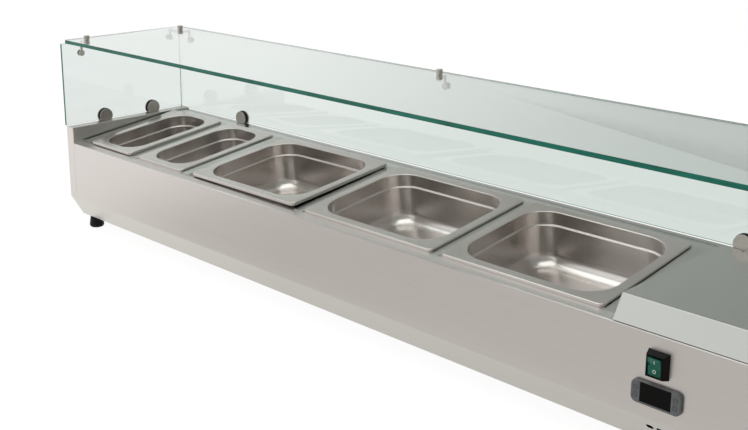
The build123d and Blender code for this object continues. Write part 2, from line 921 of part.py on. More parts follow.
def connector_places():
    """X and Y of each connector's disc under the top glass, and the places of its knobs on the others."""
    front_knob = glass_height - front_knob_drop
    rear_end_knob = glass_height - rear_end_knob_drop
    rear_back_knob = glass_height - rear_back_knob_drop
    middle_knob = glass_height - middle_knob_drop
    inner = glass_inset + side_glass
    left_front = [(inner, front_knob_y, front_knob)]
    left_rear = [
        (inner, rear_connector_y, rear_end_knob),
        (rear_connector_x, back_glass_in, rear_back_knob),
    ]
    middle = body_length / 2
    places = {
        "front_left": ((front_connector_x, front_connector_y), left_front),
        "rear_left": ((rear_connector_x, rear_connector_y), left_rear),
        "rear_middle": ((middle, middle_connector_y), [(middle, back_glass_in, middle_knob)]),
    }
    for side in ("front", "rear"):
        (x, y), knobs = places[f"{side}_left"]
        mirrored = [(body_length - kx, ky, kz) for kx, ky, kz in knobs]
        places[f"{side}_right"] = ((body_length - x, y), mirrored)
    return places


def knob_direction(knob):
    """The way from the glass to its outer side."""
    x, y, z = knob
    if y >= back_glass_in:
        return (0, 1, 0)
    return (-1, 0, 0) if x < body_length / 2 else (1, 0, 0)


def stud_holes(shape):
    for (x, y), knobs in connector_places().values():
        top_start = (x, y, glass_under - overrun)
        shape -= rod(top_start, (0, 0, 1), stud_radius + stud_play, top_glass + 2 * overrun)
        for knob in knobs:
            out = Vector(*knob_direction(knob))
            start = Vector(*knob) - out * side_glass
            shape -= rod(tuple(start), tuple(out), stud_radius + stud_play, 3 * side_glass)
    return shape


def connector_body(place):
    """Lower disc, bent arms and inner knobs in one casting, with the studs that pass through the glass."""
    (x, y), knobs = place
    disc_top = glass_under - glass_play
    body = rod((x, y, disc_top - disc_thickness), (0, 0, 1), disc_radius, disc_thickness)
    body = fillet(body.edges().filter_by(GeomType.CIRCLE), cap_round)
    disc_middle = (x, y, disc_top - disc_thickness / 2)
    arm_start = (x, y, disc_top - knob_thickness)
    stud_length = disc_thickness / 2 + top_glass + seat_gap
    body += rod(disc_middle, (0, 0, 1), stud_radius, stud_length)
    for knob in knobs:
        out = Vector(*knob_direction(knob))
        centre = Vector(*knob) - out * glass_play
        start = centre - out * knob_thickness
        disc = rod(tuple(start), tuple(out), knob_radius, knob_thickness)
        disc = fillet(disc.edges().filter_by(GeomType.CIRCLE), cap_round)
        body += disc
        side_stud = side_glass + cap_round + seat_gap
        body += rod(tuple(centre - out * cap_round), tuple(out), stud_radius, side_stud)
        middle = centre - out * (knob_thickness / 2)
        elbow = (middle.X, middle.Y, disc_top - knob_thickness)
        body += rod_between(arm_start, elbow, neck_radius)
        body += Pos(*elbow) * Sphere(neck_radius)
        body += rod_between(elbow, tuple(middle), neck_radius)
    return body


def connector_caps(place):
    """The outer discs: one on the top glass, and one on the far side of each upright glass."""
    (x, y), knobs = place
    top = (x, y, glass_height + glass_play)
    caps = [cap_disc(top, (0, 0, 1), disc_radius, stack_cap_thickness)]
    for knob in knobs:
        out = Vector(*knob_direction(knob))
        start = Vector(*knob) + out * (side_glass + glass_play)
        caps.append(cap_disc(tuple(start), tuple(out), knob_radius, cap_thickness))
    return caps


def cap_disc(start, direction, radius, thickness):
    cap = rod(start, direction, radius, thickness)
    face = cap.faces().sort_by(Axis(origin=start, direction=direction))[-1]
    cap = fillet(face.edges(), cap_round)
    socket = rod(start, direction, stud_radius + stud_play, seat_gap + cap_round)
    return cap - socket


def top_pane():
    pane = block(0, top_glass_front, glass_under, body_length, body_depth, glass_height)
    pane = fillet(pane.edges().filter_by(Axis.Z), top_glass_corner)
    return stud_holes(pane)


def end_pane():
    pane = block(
        glass_inset, -end_glass_overhang, end_glass_base,
        glass_inset + side_glass, back_glass_in - seat_gap, glass_under - seat_gap,
    )
    return stud_holes(pane)


def back_pane():
    pane = block(
        glass_inset, back_glass_in, back_glass_base,
        body_length - glass_inset, back_glass_out, glass_under - seat_gap,
    )
    return stud_holes(pane)


def holder_frames():
    """Frames on the seats of the holders: origin under the middle of the glass, x toward its inner side."""
    middle = glass_inset + side_glass / 2
    for y in (end_holder_front, body_depth - end_holder_back_gap):
        yield Plane(origin=(middle, y, end_height), x_dir=(1, 0, 0), z_dir=(0, 0, 1))
        yield Plane(origin=(body_length - middle, y, end_height), x_dir=(-1, 0, 0), z_dir=(0, 0, 1))
    back_middle = (back_glass_in + back_glass_out) / 2
    for x in (back_holder_inset, body_length - back_holder_inset):
        yield Plane(origin=(x, back_middle, rail_height), x_dir=(0, -1, 0), z_dir=(0, 0, 1))


def d_plate(radius, base, x0, x1):
    """A disc with a flat foot, from x0 to x1."""
    centre_height = holder_height - holder_radius
    disc = rod((x0, 0, centre_height), (1, 0, 0), radius, x1 - x0)
    return disc - block(x0 - overrun, -2 * radius, -3 * radius, x1 + overrun, 2 * radius, base)


def holder_layers():
    """Distances from the middle of the glass to the gasket and to the metal plate."""
    gasket_in = side_glass / 2 + glass_play
    plate_in = gasket_in + gasket + glass_play
    return gasket_in, plate_in


def holder_body(frame):
    gasket_in, plate_in = holder_layers()
    plate = d_plate(holder_radius, seat_gap, plate_in, plate_in + holder_plate)
    face = plate.faces().sort_by(Axis.X)[-1]
    plate = fillet(face.edges(), holder_edge)
    width = holder_radius * saddle_share
    plate += block(-plate_in, -width, seat_gap, plate_in + holder_plate / 2, width, saddle)
    screw_hole_radius = saddle * holder_hole_share
    plate -= rod((-2 * plate_in, 0, (saddle + seat_gap) / 2), (1, 0, 0), screw_hole_radius, 3 * plate_in)
    return frame * plate


def holder_cap(frame):
    gasket_in, plate_in = holder_layers()
    outer = plate_in + holder_plate
    plate = d_plate(holder_radius, seat_gap, -outer, -plate_in - seat_gap / 2)
    face = plate.faces().sort_by(Axis.X)[0]
    return frame * fillet(face.edges(), holder_edge)


def holder_gaskets(frame):
    gasket_in, plate_in = holder_layers()
    pads = []
    for x0 in (gasket_in, -gasket_in - gasket):
        pads.append(frame * d_plate(holder_radius + gasket_rim, saddle + seat_gap, x0, x0 + gasket))
    return pads


def compressor_ellipse(grow, base, height):
    outline = Ellipse(compressor_width / 2 + grow, compressor_length / 2 + grow)
    return extrude(Pos(compressor_x, compressor_y, base) * outline, height)


def mount_top():
    return plate_top + seat_gap + grommet_height + seat_gap + mount_sheet


def compressor_shell():
    base = mount_top()
    shell = compressor_ellipse(0, base, compressor_height)
    shell = fillet(shell.faces().sort_by(Axis.Z)[-1].edges(), compressor_round)
    return shell + compressor_ellipse(seam_width, base + compressor_height / 2, seam_height)


def mount_bolt_places():
    for x in (-1, 1):
        for y in (-1, 1):
            across = compressor_x + x * (mount_width / 2 - grommet_inset)
            yield across, compressor_y + y * (mount_length / 2 - grommet_inset)


def compressor_mount():
    top = mount_top()
    plate = block(
        compressor_x - mount_width / 2, compressor_y - mount_length / 2, top - mount_sheet,
        compressor_x + mount_width / 2, compressor_y + mount_length / 2, top,
    )
    plate = fillet(plate.edges().filter_by(Axis.Z), grommet_radius)
    for x, y in mount_bolt_places():
        plate -= rod((x, y, 0), (0, 0, 1), mount_bolt_radius + mount_bolt_play, 2 * top)
    return plate


def grommets():
    hole = mount_bolt_radius + mount_bolt_play
    for x, y in mount_bolt_places():
        ring = rod((x, y, plate_top + seat_gap), (0, 0, 1), grommet_radius, grommet_height)
        yield ring - rod((x, y, 0), (0, 0, 1), hole, 2 * mount_top())


def mount_bolts():
    seat = mount_top() + seat_gap
    for x, y in mount_bolt_places():
        start = plate_top + seat_gap / 2
        bolt = rod((x, y, start), (0, 0, 1), mount_bolt_radius, seat - start + mount_nut)
        nut = extrude(Pos(x, y, seat) * RegularPolygon(mount_nut_radius, 6), mount_nut)
        yield bolt + nut


def relay_cover():
    front = compressor_y - compressor_length / 2 - seam_width - seat_gap
    box = block(
        compressor_x - relay_width / 2, front - relay_depth, relay_base,
        compressor_x + relay_width / 2, front, relay_base + relay_height,
    )
    box = fillet(box.faces().sort_by(Axis.Y)[0].edges(), bend_radius)
    return box


def condenser_x():
    return condenser_left + condenser_depth / 2


def pass_heights():
    span = condenser_pass_pitch * (condenser_pass_count - 1)
    middle = (condenser_base + condenser_top) / 2
    return [middle + span / 2 - index * condenser_pass_pitch for index in range(condenser_pass_count)]


def condenser_fins():
    middle = (condenser_base + condenser_top) / 2
    plate = Rectangle(condenser_depth, condenser_top - condenser_base)
    for height in pass_heights():
        plate -= Pos(0, height - middle) * Circle(condenser_tube_radius + fin_tube_gap)
    plane = Plane(origin=(condenser_x(), 0, middle), x_dir=(1, 0, 0), z_dir=(0, -1, 0))
    leaf = extrude(plane * plate, -fin)
    count = int((condenser_back - condenser_front) / fin_pitch) + 1
    return [Pos(0, condenser_front + index * fin_pitch, 0) * leaf for index in range(count)]


def condenser_tube():
    front = condenser_front - condenser_tube_reach - condenser_pass_pitch / 2
    back = condenser_back + condenser_tube_reach + condenser_pass_pitch / 2
    points = []
    x = condenser_x()
    for index, height in enumerate(pass_heights()):
        ends = (front, back) if index % 2 == 0 else (back, front)
        points.append((x, ends[0], height))
        points.append((x, ends[1], height))
    return pipe(points, condenser_tube_radius, condenser_pass_pitch / 2 - seat_gap)


def fan_layout():
    """X of the shroud plate, the blade hub and the motor, from the condenser's inner face outward."""
    skirt_end = condenser_left - seat_gap
    plate = skirt_end - shroud_depth
    ring_end = plate - shroud_ring
    hub_start = plate - fan_hub_length
    motor_end = hub_start - fan_motor_gap
    return skirt_end, plate, ring_end, hub_start, motor_end


def fan_shroud():
    skirt_end, plate, ring_end, hub_start, motor_end = fan_layout()
    outer = block(plate, condenser_front, condenser_base, skirt_end, condenser_back, condenser_top)
    inner = block(
        plate + shroud_sheet, condenser_front + shroud_sheet, condenser_base + shroud_sheet,
        skirt_end + overrun, condenser_back - shroud_sheet, condenser_top - shroud_sheet,
    )
    hole_radius = fan_radius + fan_tip_gap
    ring_length = shroud_ring + shroud_sheet / 2
    ring = rod((ring_end, fan_y, fan_height), (1, 0, 0), hole_radius + shroud_sheet, ring_length)
    hole_length = shroud_ring + 2 * overrun + shroud_sheet
    hole = rod((ring_end - overrun, fan_y, fan_height), (1, 0, 0), hole_radius, hole_length)
    return (outer - inner) + ring - hole


def fan_motor():
    skirt_end, plate, ring_end, hub_start, motor_end = fan_layout()
    start = motor_end - fan_motor_length
    motor = rod((start, fan_y, fan_height), (1, 0, 0), fan_motor_radius, fan_motor_length)
    motor = fillet(motor.edges().filter_by(GeomType.CIRCLE), bend_radius)
    shaft_length = fan_motor_gap + fan_hub_length - bend_radius
    shaft_start = (motor_end - bend_radius, fan_y, fan_height)
    return motor + rod(shaft_start, (1, 0, 0), fan_shaft_radius, shaft_length)


def fan_bracket():
    """A cross that carries the motor in front of the shroud's ring."""
    skirt_end, plate, ring_end, hub_start, motor_end = fan_layout()
    reach = fan_radius + fan_tip_gap + shroud_sheet + seat_gap + bracket_sheet
    half = bracket_arm_width / 2
    start = ring_end - seat_gap - bracket_sheet - fan_motor_gap
    clear = fan_motor_radius + seat_gap / 2
    end = start + bracket_sheet
    arms = block(start, fan_y - reach, fan_height - half, end, fan_y + reach, fan_height + half)
    arms += block(start, fan_y - half, fan_height - reach, end, fan_y + half, fan_height + reach)
    ring = rod((start, fan_y, fan_height), (1, 0, 0), clear + bracket_arm_width, bracket_sheet)
    arms += ring
    for y, z in ((-1, 0), (1, 0), (0, -1), (0, 1)):
        centre_y = fan_y + y * (reach - bracket_sheet / 2)
        centre_z = fan_height + z * (reach - bracket_sheet / 2)
        thick_y = bracket_sheet / 2 if y else half
        thick_z = bracket_sheet / 2 if z else half
        arms += block(
            start, centre_y - thick_y, centre_z - thick_z,
            plate - seat_gap, centre_y + thick_y, centre_z + thick_z,
        )
    return arms - rod((start - overrun, fan_y, fan_height), (1, 0, 0), clear, 3 * overrun)


def fan_blade():
    skirt_end, plate, ring_end, hub_start, motor_end = fan_layout()
    axis_start = (hub_start, fan_y, fan_height)
    hub = rod(axis_start, (1, 0, 0), fan_hub_radius, fan_hub_length)
    span = fan_radius - fan_hub_radius + bend_radius
    leaf = Box(fan_blade_sheet, fan_blade_chord, span)
    leaf = fillet(leaf.edges().filter_by(Axis.X), bend_radius * 2)
    leaf = Pos(0, 0, fan_hub_radius - bend_radius + span / 2) * Rot(0, 0, fan_blade_pitch) * leaf
    fan = hub
    for index in range(fan_blade_count):
        turn = Rot(360 * index / fan_blade_count, 0, 0)
        fan += Pos(hub_start + fan_hub_length / 2, fan_y, fan_height) * turn * leaf
    cut_start = (hub_start - overrun, fan_y, fan_height)
    cut_length = fan_hub_length + 2 * overrun
    envelope = rod(cut_start, (1, 0, 0), fan_radius, cut_length)
    bore = rod(cut_start, (1, 0, 0), fan_shaft_radius + fan_shaft_play, cut_length)
    return (fan & envelope) - bore


def pipe_entry_y():
    """Y of the condenser tube's two open ends."""
    return condenser_front - condenser_tube_reach - condenser_pass_pitch / 2 - seat_gap


def pipe_run_y():
    return pipe_entry_y() - pipe_turn


def discharge_pipe():
    """From the compressor's side, over the fan, to the condenser's upper end."""
    side_x = compressor_x + compressor_width / 2 + seam_width + seat_gap
    level = mount_top() + compressor_height / 2 + seam_height / 2
    inlet_height = pass_heights()[0]
    riser_x = side_x + 2 * overrun
    points = [
        (side_x, compressor_y, level),
        (riser_x, compressor_y, level),
        (riser_x, compressor_y, inlet_height),
        (riser_x, pipe_run_y(), inlet_height),
        (condenser_x(), pipe_run_y(), inlet_height),
        (condenser_x(), pipe_entry_y(), inlet_height),
    ]
    return pipe(points, discharge_radius, 2 * discharge_radius)


def drier_start():
    return compressor_x + mount_width / 4


def filter_drier():
    low = pass_heights()[-1]
    start = drier_start()
    barrel = rod((start, pipe_run_y(), low), (1, 0, 0), drier_radius, drier_length)
    barrel = fillet(barrel.edges().filter_by(GeomType.CIRCLE), drier_radius * drier_round_share)
    whole_length = drier_length + 2 * drier_neck
    return barrel + rod((start - drier_neck, pipe_run_y(), low), (1, 0, 0), discharge_radius, whole_length)


def liquid_pipe():
    """From the condenser's lower end to the filter drier."""
    low = pass_heights()[-1]
    end_x = drier_start() + drier_length + drier_neck + seat_gap
    points = [
        (condenser_x(), pipe_entry_y(), low),
        (condenser_x(), pipe_run_y(), low),
        (end_x, pipe_run_y(), low),
    ]
    return pipe(points, discharge_radius, 2 * discharge_radius)


def capillary():
    """The thin pipe from the drier to the start of the cold coil."""
    low = pass_heights()[-1]
    start_x = drier_start() - drier_neck - seat_gap
    coil_x = coil_tail_x() + seat_gap
    turn_x = coil_x + pipe_turn
    bend = min(pipe_turn, abs(coil_levels[0] - low)) / 3
    points = [
        (start_x, pipe_run_y(), low),
        (turn_x, pipe_run_y(), low),
        (turn_x, pipe_run_y(), coil_levels[0]),
        (turn_x, coil_front_y(), coil_levels[0]),
        (coil_x, coil_front_y(), coil_levels[0]),
    ]
    return pipe(points, capillary_radius, bend)


def suction_pipe():
    """From the end of the cold coil round to the back of the compressor."""
    start_x = coil_tail_x() + seat_gap
    level = coil_levels[-1]
    back_y = compressor_y + compressor_length / 2 + seat_gap
    points = [
        (start_x, coil_back_y(), level),
        (start_x + pipe_turn, coil_back_y(), level),
        (start_x + pipe_turn, suction_run_y, level),
        (compressor_x, suction_run_y, level),
        (compressor_x, back_y, level),
    ]
    return pipe(points, coil_radius, pipe_turn / 2)


def probe():
    x = well_right - seat_gap - probe_radius
    return rod((x, well_middle_y, well_floor + probe_rise), (0, 0, 1), probe_radius, probe_length)


def terminal_box():
    back = body_depth - sheet - seat_gap
    box = block(
        terminal_box_left, back - terminal_box_depth, terminal_box_base,
        terminal_box_left + terminal_box_width, back, terminal_box_base + terminal_box_height,
    )
    return fillet(box.faces().sort_by(Axis.Y)[0].edges(), bend_radius)


def cable_gland():
    """The cord's entry, empty: a threaded sleeve with a flange on the outside."""
    inner_end = body_depth - sheet - gland_inner
    whole_length = body_depth + gland_proud - inner_end
    gland = rod((gland_x, inner_end, gland_height), (0, 1, 0), gland_radius, whole_length)
    flange_start = (gland_x, body_depth + seat_gap, gland_height)
    flange = rod(flange_start, (0, 1, 0), gland_flange_radius, gland_flange)
    gland = gland + flange
    gland = fillet(gland.edges().filter_by(GeomType.CIRCLE).sort_by(Axis.Y)[-1], edge_round)
    return gland - rod((gland_x, 0, gland_height), (0, 1, 0), gland_bore_radius, 2 * body_depth)


def rubber_foot(x, y):
    foot = Pos(x, y, foot_height / 2) * Cone(foot_bottom_radius, foot_top_radius, foot_height)
    foot = fillet(foot.edges().filter_by(GeomType.CIRCLE).sort_by(Axis.Z)[0], foot_round)
    foot -= rod((x, y, -overrun), (0, 0, 1), foot_recess_radius, foot_recess + overrun)
    return foot - rod((x, y, 0), (0, 0, 1), foot_bolt_radius + foot_bolt_play, foot_height + overrun)


def foot_bolt(x, y):
    head_top = foot_recess - seat_gap
    head = extrude(Pos(x, y, head_top - foot_head) * RegularPolygon(foot_head_radius, 6), foot_head)
    end = foot_bolt_end()
    bolt = head + rod((x, y, head_top - sheet), (0, 0, 1), foot_bolt_radius, end - head_top + sheet)
    nut = extrude(Pos(x, y, plate_top + seat_gap) * RegularPolygon(foot_head_radius, 6), foot_nut)
    nut -= rod((x, y, 0), (0, 0, 1), foot_bolt_radius + seat_gap / 3, 2 * end)
    return [bolt, nut]


def body_screw(x, y, seat):
    """A pan-head screw driven upward into the sheet whose lower side is at the seat level."""
    head_top = seat - seat_gap
    head = rod((x, y, head_top - plate_screw_head), (0, 0, 1), plate_screw_head_radius, plate_screw_head)
    return head + rod((x, y, head_top), (0, 0, 1), plate_screw_radius, plate_screw_reach)


save("front_panel", front_panel())
save("rear_panel", rear_panel())
save("left_end_panel", end_sleeve())
save("right_end_panel", right_end_sleeve())
save("bottom_plate", bottom_plate())
save("inner_well", *well())
save("well_insulation", foam_block())
save("cold_coil", cold_coil())
save("drain_fitting", drain_fitting())
save("drain_plug", drain_plug())
save("partition_wall", partition())
between_pans = [f"bar_{number}_{number + 1}" for number in range(1, len(pan_widths))]
bar_names = ["left_filler_bar", *between_pans, "right_filler_bar"]
for name, (left, right) in zip(bar_names, bar_spans()):
    save(name, loose_bar(left, right, name == "bar_2_3"))
for index, width in enumerate(pan_widths):
    save(f"pan_{index + 1}", pan_frame(index) * pan_blank(width))
save("compressor_cover", cover())
save("switch_housing", switch_housing())
save("switch_rocker", switch_rocker())
save("thermostat_body", thermostat())
save("thermostat_window", thermostat_window())
for number, (x, y) in enumerate(key_places(), start=1):
    save(f"thermostat_key_{number}", thermostat_key(x, y))
save("top_glass", top_pane())
save("back_glass", back_pane())
save("left_end_glass", end_pane())
save("right_end_glass", Pos(body_length, 0, 0) * mirror(end_pane(), about=Plane.YZ))
save("glass_holders", *[plate(frame) for frame in holder_frames() for plate in (holder_body, holder_cap)])
save("glass_holder_gaskets", *[pad for frame in holder_frames() for pad in holder_gaskets(frame)])
save("glass_connectors", *[connector_body(place) for place in connector_places().values()])
connectors = connector_places().values()
save("glass_connector_caps", *[cap for place in connectors for cap in connector_caps(place)])
save("compressor", compressor_shell())
save("compressor_mount_plate", compressor_mount())
save("compressor_grommets", *grommets())
save("compressor_bolts", *mount_bolts())
save("compressor_relay_cover", relay_cover())
save("condenser_fins", *condenser_fins())
save("condenser_tube", condenser_tube())
save("fan_shroud", fan_shroud())
save("fan_motor", fan_motor())
save("fan_bracket", fan_bracket())
save("fan_blade", fan_blade())
save("discharge_pipe", discharge_pipe())
save("filter_drier", filter_drier())
save("liquid_pipes", liquid_pipe(), capillary())
save("suction_pipe", suction_pipe())
save("temperature_probe", probe())
save("terminal_box", terminal_box())
save("cable_gland", cable_gland())
save("rubber_feet", *[rubber_foot(x, y) for x, y in foot_places()])
save("foot_bolts", *[piece for x, y in foot_places() for piece in foot_bolt(x, y)])
plate_screws = [body_screw(x, y, foot_height) for x, y in plate_screw_places()]
cover_screws = [body_screw(x, y, rail_height - sheet) for x, y in cover_screw_places()]
save("body_screws", *plate_screws, *cover_screws)
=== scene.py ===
import json
import math

import bmesh
import bpy
from mathutils import Matrix, Vector


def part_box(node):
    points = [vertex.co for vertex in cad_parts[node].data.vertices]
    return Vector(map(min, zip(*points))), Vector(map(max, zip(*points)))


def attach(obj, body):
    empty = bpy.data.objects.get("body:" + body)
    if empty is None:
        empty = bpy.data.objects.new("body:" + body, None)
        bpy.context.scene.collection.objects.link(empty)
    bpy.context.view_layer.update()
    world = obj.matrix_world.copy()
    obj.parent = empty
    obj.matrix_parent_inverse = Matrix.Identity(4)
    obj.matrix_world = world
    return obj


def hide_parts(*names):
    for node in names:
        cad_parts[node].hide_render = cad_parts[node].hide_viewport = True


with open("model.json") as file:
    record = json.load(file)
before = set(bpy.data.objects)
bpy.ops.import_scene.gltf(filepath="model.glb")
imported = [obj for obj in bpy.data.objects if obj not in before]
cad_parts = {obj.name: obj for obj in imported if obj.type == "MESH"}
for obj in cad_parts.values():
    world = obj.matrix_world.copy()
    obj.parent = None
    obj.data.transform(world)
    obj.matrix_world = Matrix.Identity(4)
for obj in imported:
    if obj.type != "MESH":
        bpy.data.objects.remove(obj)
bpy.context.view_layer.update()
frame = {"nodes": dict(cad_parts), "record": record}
NODES = frame["nodes"]
BODIES = frame["record"]["behaviour"]["bodies"]
SLOTS = {row["node"]: row["material_slot"] for row in frame["record"]["subparts"]}

bl_info = {
    "name": "Refrigerated topping display",
    "version": (1, 0, 0),
    "blender": (4, 5, 0),
    "location": "View3D > Sidebar > Topping display",
    "description": "Finishes the pieces of a counter-top topping display and sets a plain studio round it",
    "category": "Object",
}

MM = 0.001

# What the room shows to steel and glass: shares of each span, and the shade there
ROOM_SHADES = [(0.0, "#fefefe"), (0.4, "#fcfcfb"), (0.6, "#e4e4e2"), (0.8, "#c0bfbd"), (1.0, "#a9a8a5")]
# The floor's rows are painted light and shade that only steel and glass see, with a painted shadow of the
# body in the row under it
FRONT_SHADES = [(0.0, "#fdfbf9"), (0.15, "#f7f4f1"), (0.32, "#c3bfbb"), (0.45, "#c0bcb8"), (1.0, "#c8c5c1")]
UNDER_BODY_PAINTED_SHADE = [(0.0, "#f4f4f0"), (0.4, "#dcddd8"), (1.0, "#cfcfcb")]
BACK_SHADES = [(0.0, "#f7f9f8"), (0.35, "#f3f6f4"), (0.6, "#e6ebe8"), (1.0, "#e0e5e2")]

# How much a ray's way right, back and up counts, and the span of their sum that the room's shades fill
RAY_SHARES = (0.9, 0.5, 1.0)
ROOM_SPAN = (-0.6, 0.4)

# Where each row of shades on the floor starts and ends in metres, and where one gives way to the next
FRONT_SPAN = (-1.5, 1.0)
UNDER_SPAN = (-1.0, 1.0)
BACK_SPAN = (-2.0, 2.0)
FRONT_TO_UNDER = (-0.34, -0.22)
UNDER_TO_BACK = (0.2, 0.6)

# How much small detail the noise keeps, and its values where a change of tone starts and ends
NOISE_ROUGHNESS = 0.6
NOISE_LOW_SHARE = 0.3
NOISE_HIGH_SHARE = 0.7

# The profile of a bevel that is an arc
ROUND_PROFILE = 0.5

# The axis that each pane is thin along: 0, 1 or 2 for X, Y or Z
THIN_AXES = {"top_glass": 2, "back_glass": 1, "left_end_glass": 0, "right_end_glass": 0}

# A face whose normal has less than this along that axis belongs to the pane's edge
PANE_EDGE_SHARE = 0.5

# A face of the rocker carries a mark if its normal has more than this towards the front
MARKED_FACE_SHARE = 0.9


# Small helpers

def linear(hex_colour):
    """An sRGB hex colour as the linear colour that a shader takes."""
    values = []
    for start in (1, 3, 5):
        value = int(hex_colour[start:start + 2], 16) / 255
        low = value / 12.92
        high = ((value + 0.055) / 1.055) ** 2.4
        values.append(low if value <= 0.04045 else high)
    return (*values, 1.0)


def shader_colour(colour):
    """A colour as a shader takes it, from a hex value or from a user's colour."""
    return linear(colour) if isinstance(colour, str) else tuple(colour)


def add_node(tree, kind, settings=None, links=None):
    """A shader node with its settings, and the sockets that feed its inputs."""
    node = tree.nodes.new(kind)
    for name, value in (settings or {}).items():
        if isinstance(name, int) or name in node.inputs:
            node.inputs[name].default_value = value
        else:
            setattr(node, name, value)
    for name, socket in (links or {}).items():
        tree.links.new(socket, node.inputs[name])
    return node


def start_material(name, colour, metallic, roughness):
    """A material with one Principled shader, ready for its pattern."""
    material = bpy.data.materials.new(name)
    material.use_nodes = True
    tree = material.node_tree
    shader = tree.nodes["Principled BSDF"]
    shader.inputs["Base Color"].default_value = shader_colour(colour)
    shader.inputs["Metallic"].default_value = metallic
    shader.inputs["Roughness"].default_value = roughness
    return material, tree, shader


def object_pattern(tree, detail, sizes):
    """Noise in the piece's own coordinates, its forms as large along X, Y and Z as the sizes in metres."""
    place = add_node(tree, "ShaderNodeTexCoord")
    scale = tuple(1 / size for size in sizes)
    stretched = add_node(tree, "ShaderNodeMapping", {"Scale": scale}, {"Vector": place.outputs["Object"]})
    settings = {"Scale": 1.0, "Detail": detail, "Roughness": NOISE_ROUGHNESS}
    return add_node(tree, "ShaderNodeTexNoise", settings, {"Vector": stretched.outputs["Vector"]})


def even_pattern(tree, detail, size):
    """Noise whose forms are as large in every direction."""
    return object_pattern(tree, detail, (size, size, size))


def vary_roughness(tree, shader, noise, low, high):
    """The roughness runs between two values with the noise."""
    scaled = add_node(
        tree, "ShaderNodeMapRange",
        {"From Min": NOISE_LOW_SHARE, "From Max": NOISE_HIGH_SHARE, "To Min": low, "To Max": high},
        {"Value": noise.outputs["Fac"]},
    )
    tree.links.new(scaled.outputs["Result"], shader.inputs["Roughness"])


def vary_colour(tree, shader, noise, dark, light):
    """The base colour runs between two tones with the noise."""
    ramp = add_node(tree, "ShaderNodeValToRGB", {}, {"Fac": noise.outputs["Fac"]})
    ramp.color_ramp.elements[0].position = NOISE_LOW_SHARE
    ramp.color_ramp.elements[0].color = shader_colour(dark)
    ramp.color_ramp.elements[1].position = NOISE_HIGH_SHARE
    ramp.color_ramp.elements[1].color = shader_colour(light)
    tree.links.new(ramp.outputs["Color"], shader.inputs["Base Color"])


def add_relief(tree, shader, noise, height, strength):
    """Bump from the noise, its height in metres."""
    bump = add_node(
        tree, "ShaderNodeBump", {"Strength": strength, "Distance": height}, {"Height": noise.outputs["Fac"]}
    )
    tree.links.new(bump.outputs["Normal"], shader.inputs["Normal"])
    return bump


def body_of_node(node):
    """The moving body that a CAD node belongs to."""
    return next(body for body, members in BODIES.items() if node in members)


# Materials

def brushed_304(name, tones, roughness, grain):
    """Stainless sheet brushed one way: fine streaks, and a slow waviness that bends reflections."""
    dark, light = tones
    low, high = roughness
    material, tree, shader = start_material(name, light, metallic=1.0, roughness=low)
    streaks = object_pattern(tree, detail=3.0, sizes=grain)
    vary_roughness(tree, shader, streaks, low, high)
    vary_colour(tree, shader, streaks, dark, light)
    fine = add_relief(tree, shader, streaks, height=0.002 * MM, strength=0.15)
    waves = object_pattern(tree, detail=1.0, sizes=(420 * MM, 420 * MM, 260 * MM))
    slow = add_relief(tree, shader, waves, height=0.8 * MM, strength=0.3)
    tree.links.new(fine.outputs["Normal"], slow.inputs["Normal"])
    return material


def body_sheet():
    """Body sheets: real grit leaves 0.1 mm streaks, drawn 0.8 mm wide so that they show close up."""
    grain = (160 * MM, 0.8 * MM, 0.8 * MM)
    return brushed_304("brushed_304_body_sheet", ("#dad6d3", "#e0dcd9"), (0.30, 0.36), grain)


def deck_sheet():
    """Bars, rail and cover: the same sheet, brushed along the depth, its grain drawn 1.5 mm wide."""
    grain = (1.5 * MM, 160 * MM, 1.5 * MM)
    return brushed_304("brushed_304_deck_sheet", ("#c8cac6", "#cbcdc9"), (0.24, 0.27), grain)


def deep_drawn_pan():
    """Deep-drawn 18/10 pans: satin walls that mirror softly, with a slow drift of tone and dullness."""
    material, tree, shader = start_material(
        "deep_drawn_18_10_satin", "#d4d0cd", metallic=1.0, roughness=0.26,
    )
    drift = even_pattern(tree, detail=0.0, size=240 * MM)
    vary_roughness(tree, shader, drift, low=0.22, high=0.26)
    vary_colour(tree, shader, drift, "#d0cac6", "#dbd6d3")
    return material


def well_sheet():
    """Inner well: mill-finish stainless with a cloudy grey."""
    material, tree, shader = start_material(
        "mill_finish_well_sheet", "#a9a9a7", metallic=1.0, roughness=0.35,
    )
    clouds = even_pattern(tree, detail=3.0, size=40 * MM)
    vary_roughness(tree, shader, clouds, low=0.3, high=0.42)
    vary_colour(tree, shader, clouds, "#9d9d9c", "#b1b1af")
    return material


def galvanised_sheet():
    """Hot-dip galvanised sheet: the zinc's spangle shows as grey flakes about 12 mm across."""
    material, tree, shader = start_material(
        "hot_dip_galvanised_sheet", "#a5a8aa", metallic=0.9, roughness=0.45,
    )
    flake = 12 * MM
    place = add_node(tree, "ShaderNodeTexCoord")
    spangle = add_node(
        tree, "ShaderNodeTexVoronoi", {"Scale": 1 / flake}, {"Vector": place.outputs["Object"]},
    )
    ramp = add_node(tree, "ShaderNodeValToRGB", {}, {"Fac": spangle.outputs["Color"]})
    ramp.color_ramp.elements[0].color = linear("#93979a")
    ramp.color_ramp.elements[1].color = linear("#b7babc")
    tree.links.new(ramp.outputs["Color"], shader.inputs["Base Color"])
    return material


def foam_block():
    """Foamed-in-place polyurethane: cream, matt, with open cells of about 1.5 mm."""
    material, tree, shader = start_material("polyurethane_foam", "#d9c890", metallic=0.0, roughness=0.9)
    cells = even_pattern(tree, detail=4.0, size=1.5 * MM)
    vary_colour(tree, shader, cells, "#cbb87c", "#e3d49f")
    add_relief(tree, shader, cells, height=0.6 * MM, strength=0.7)
    return material


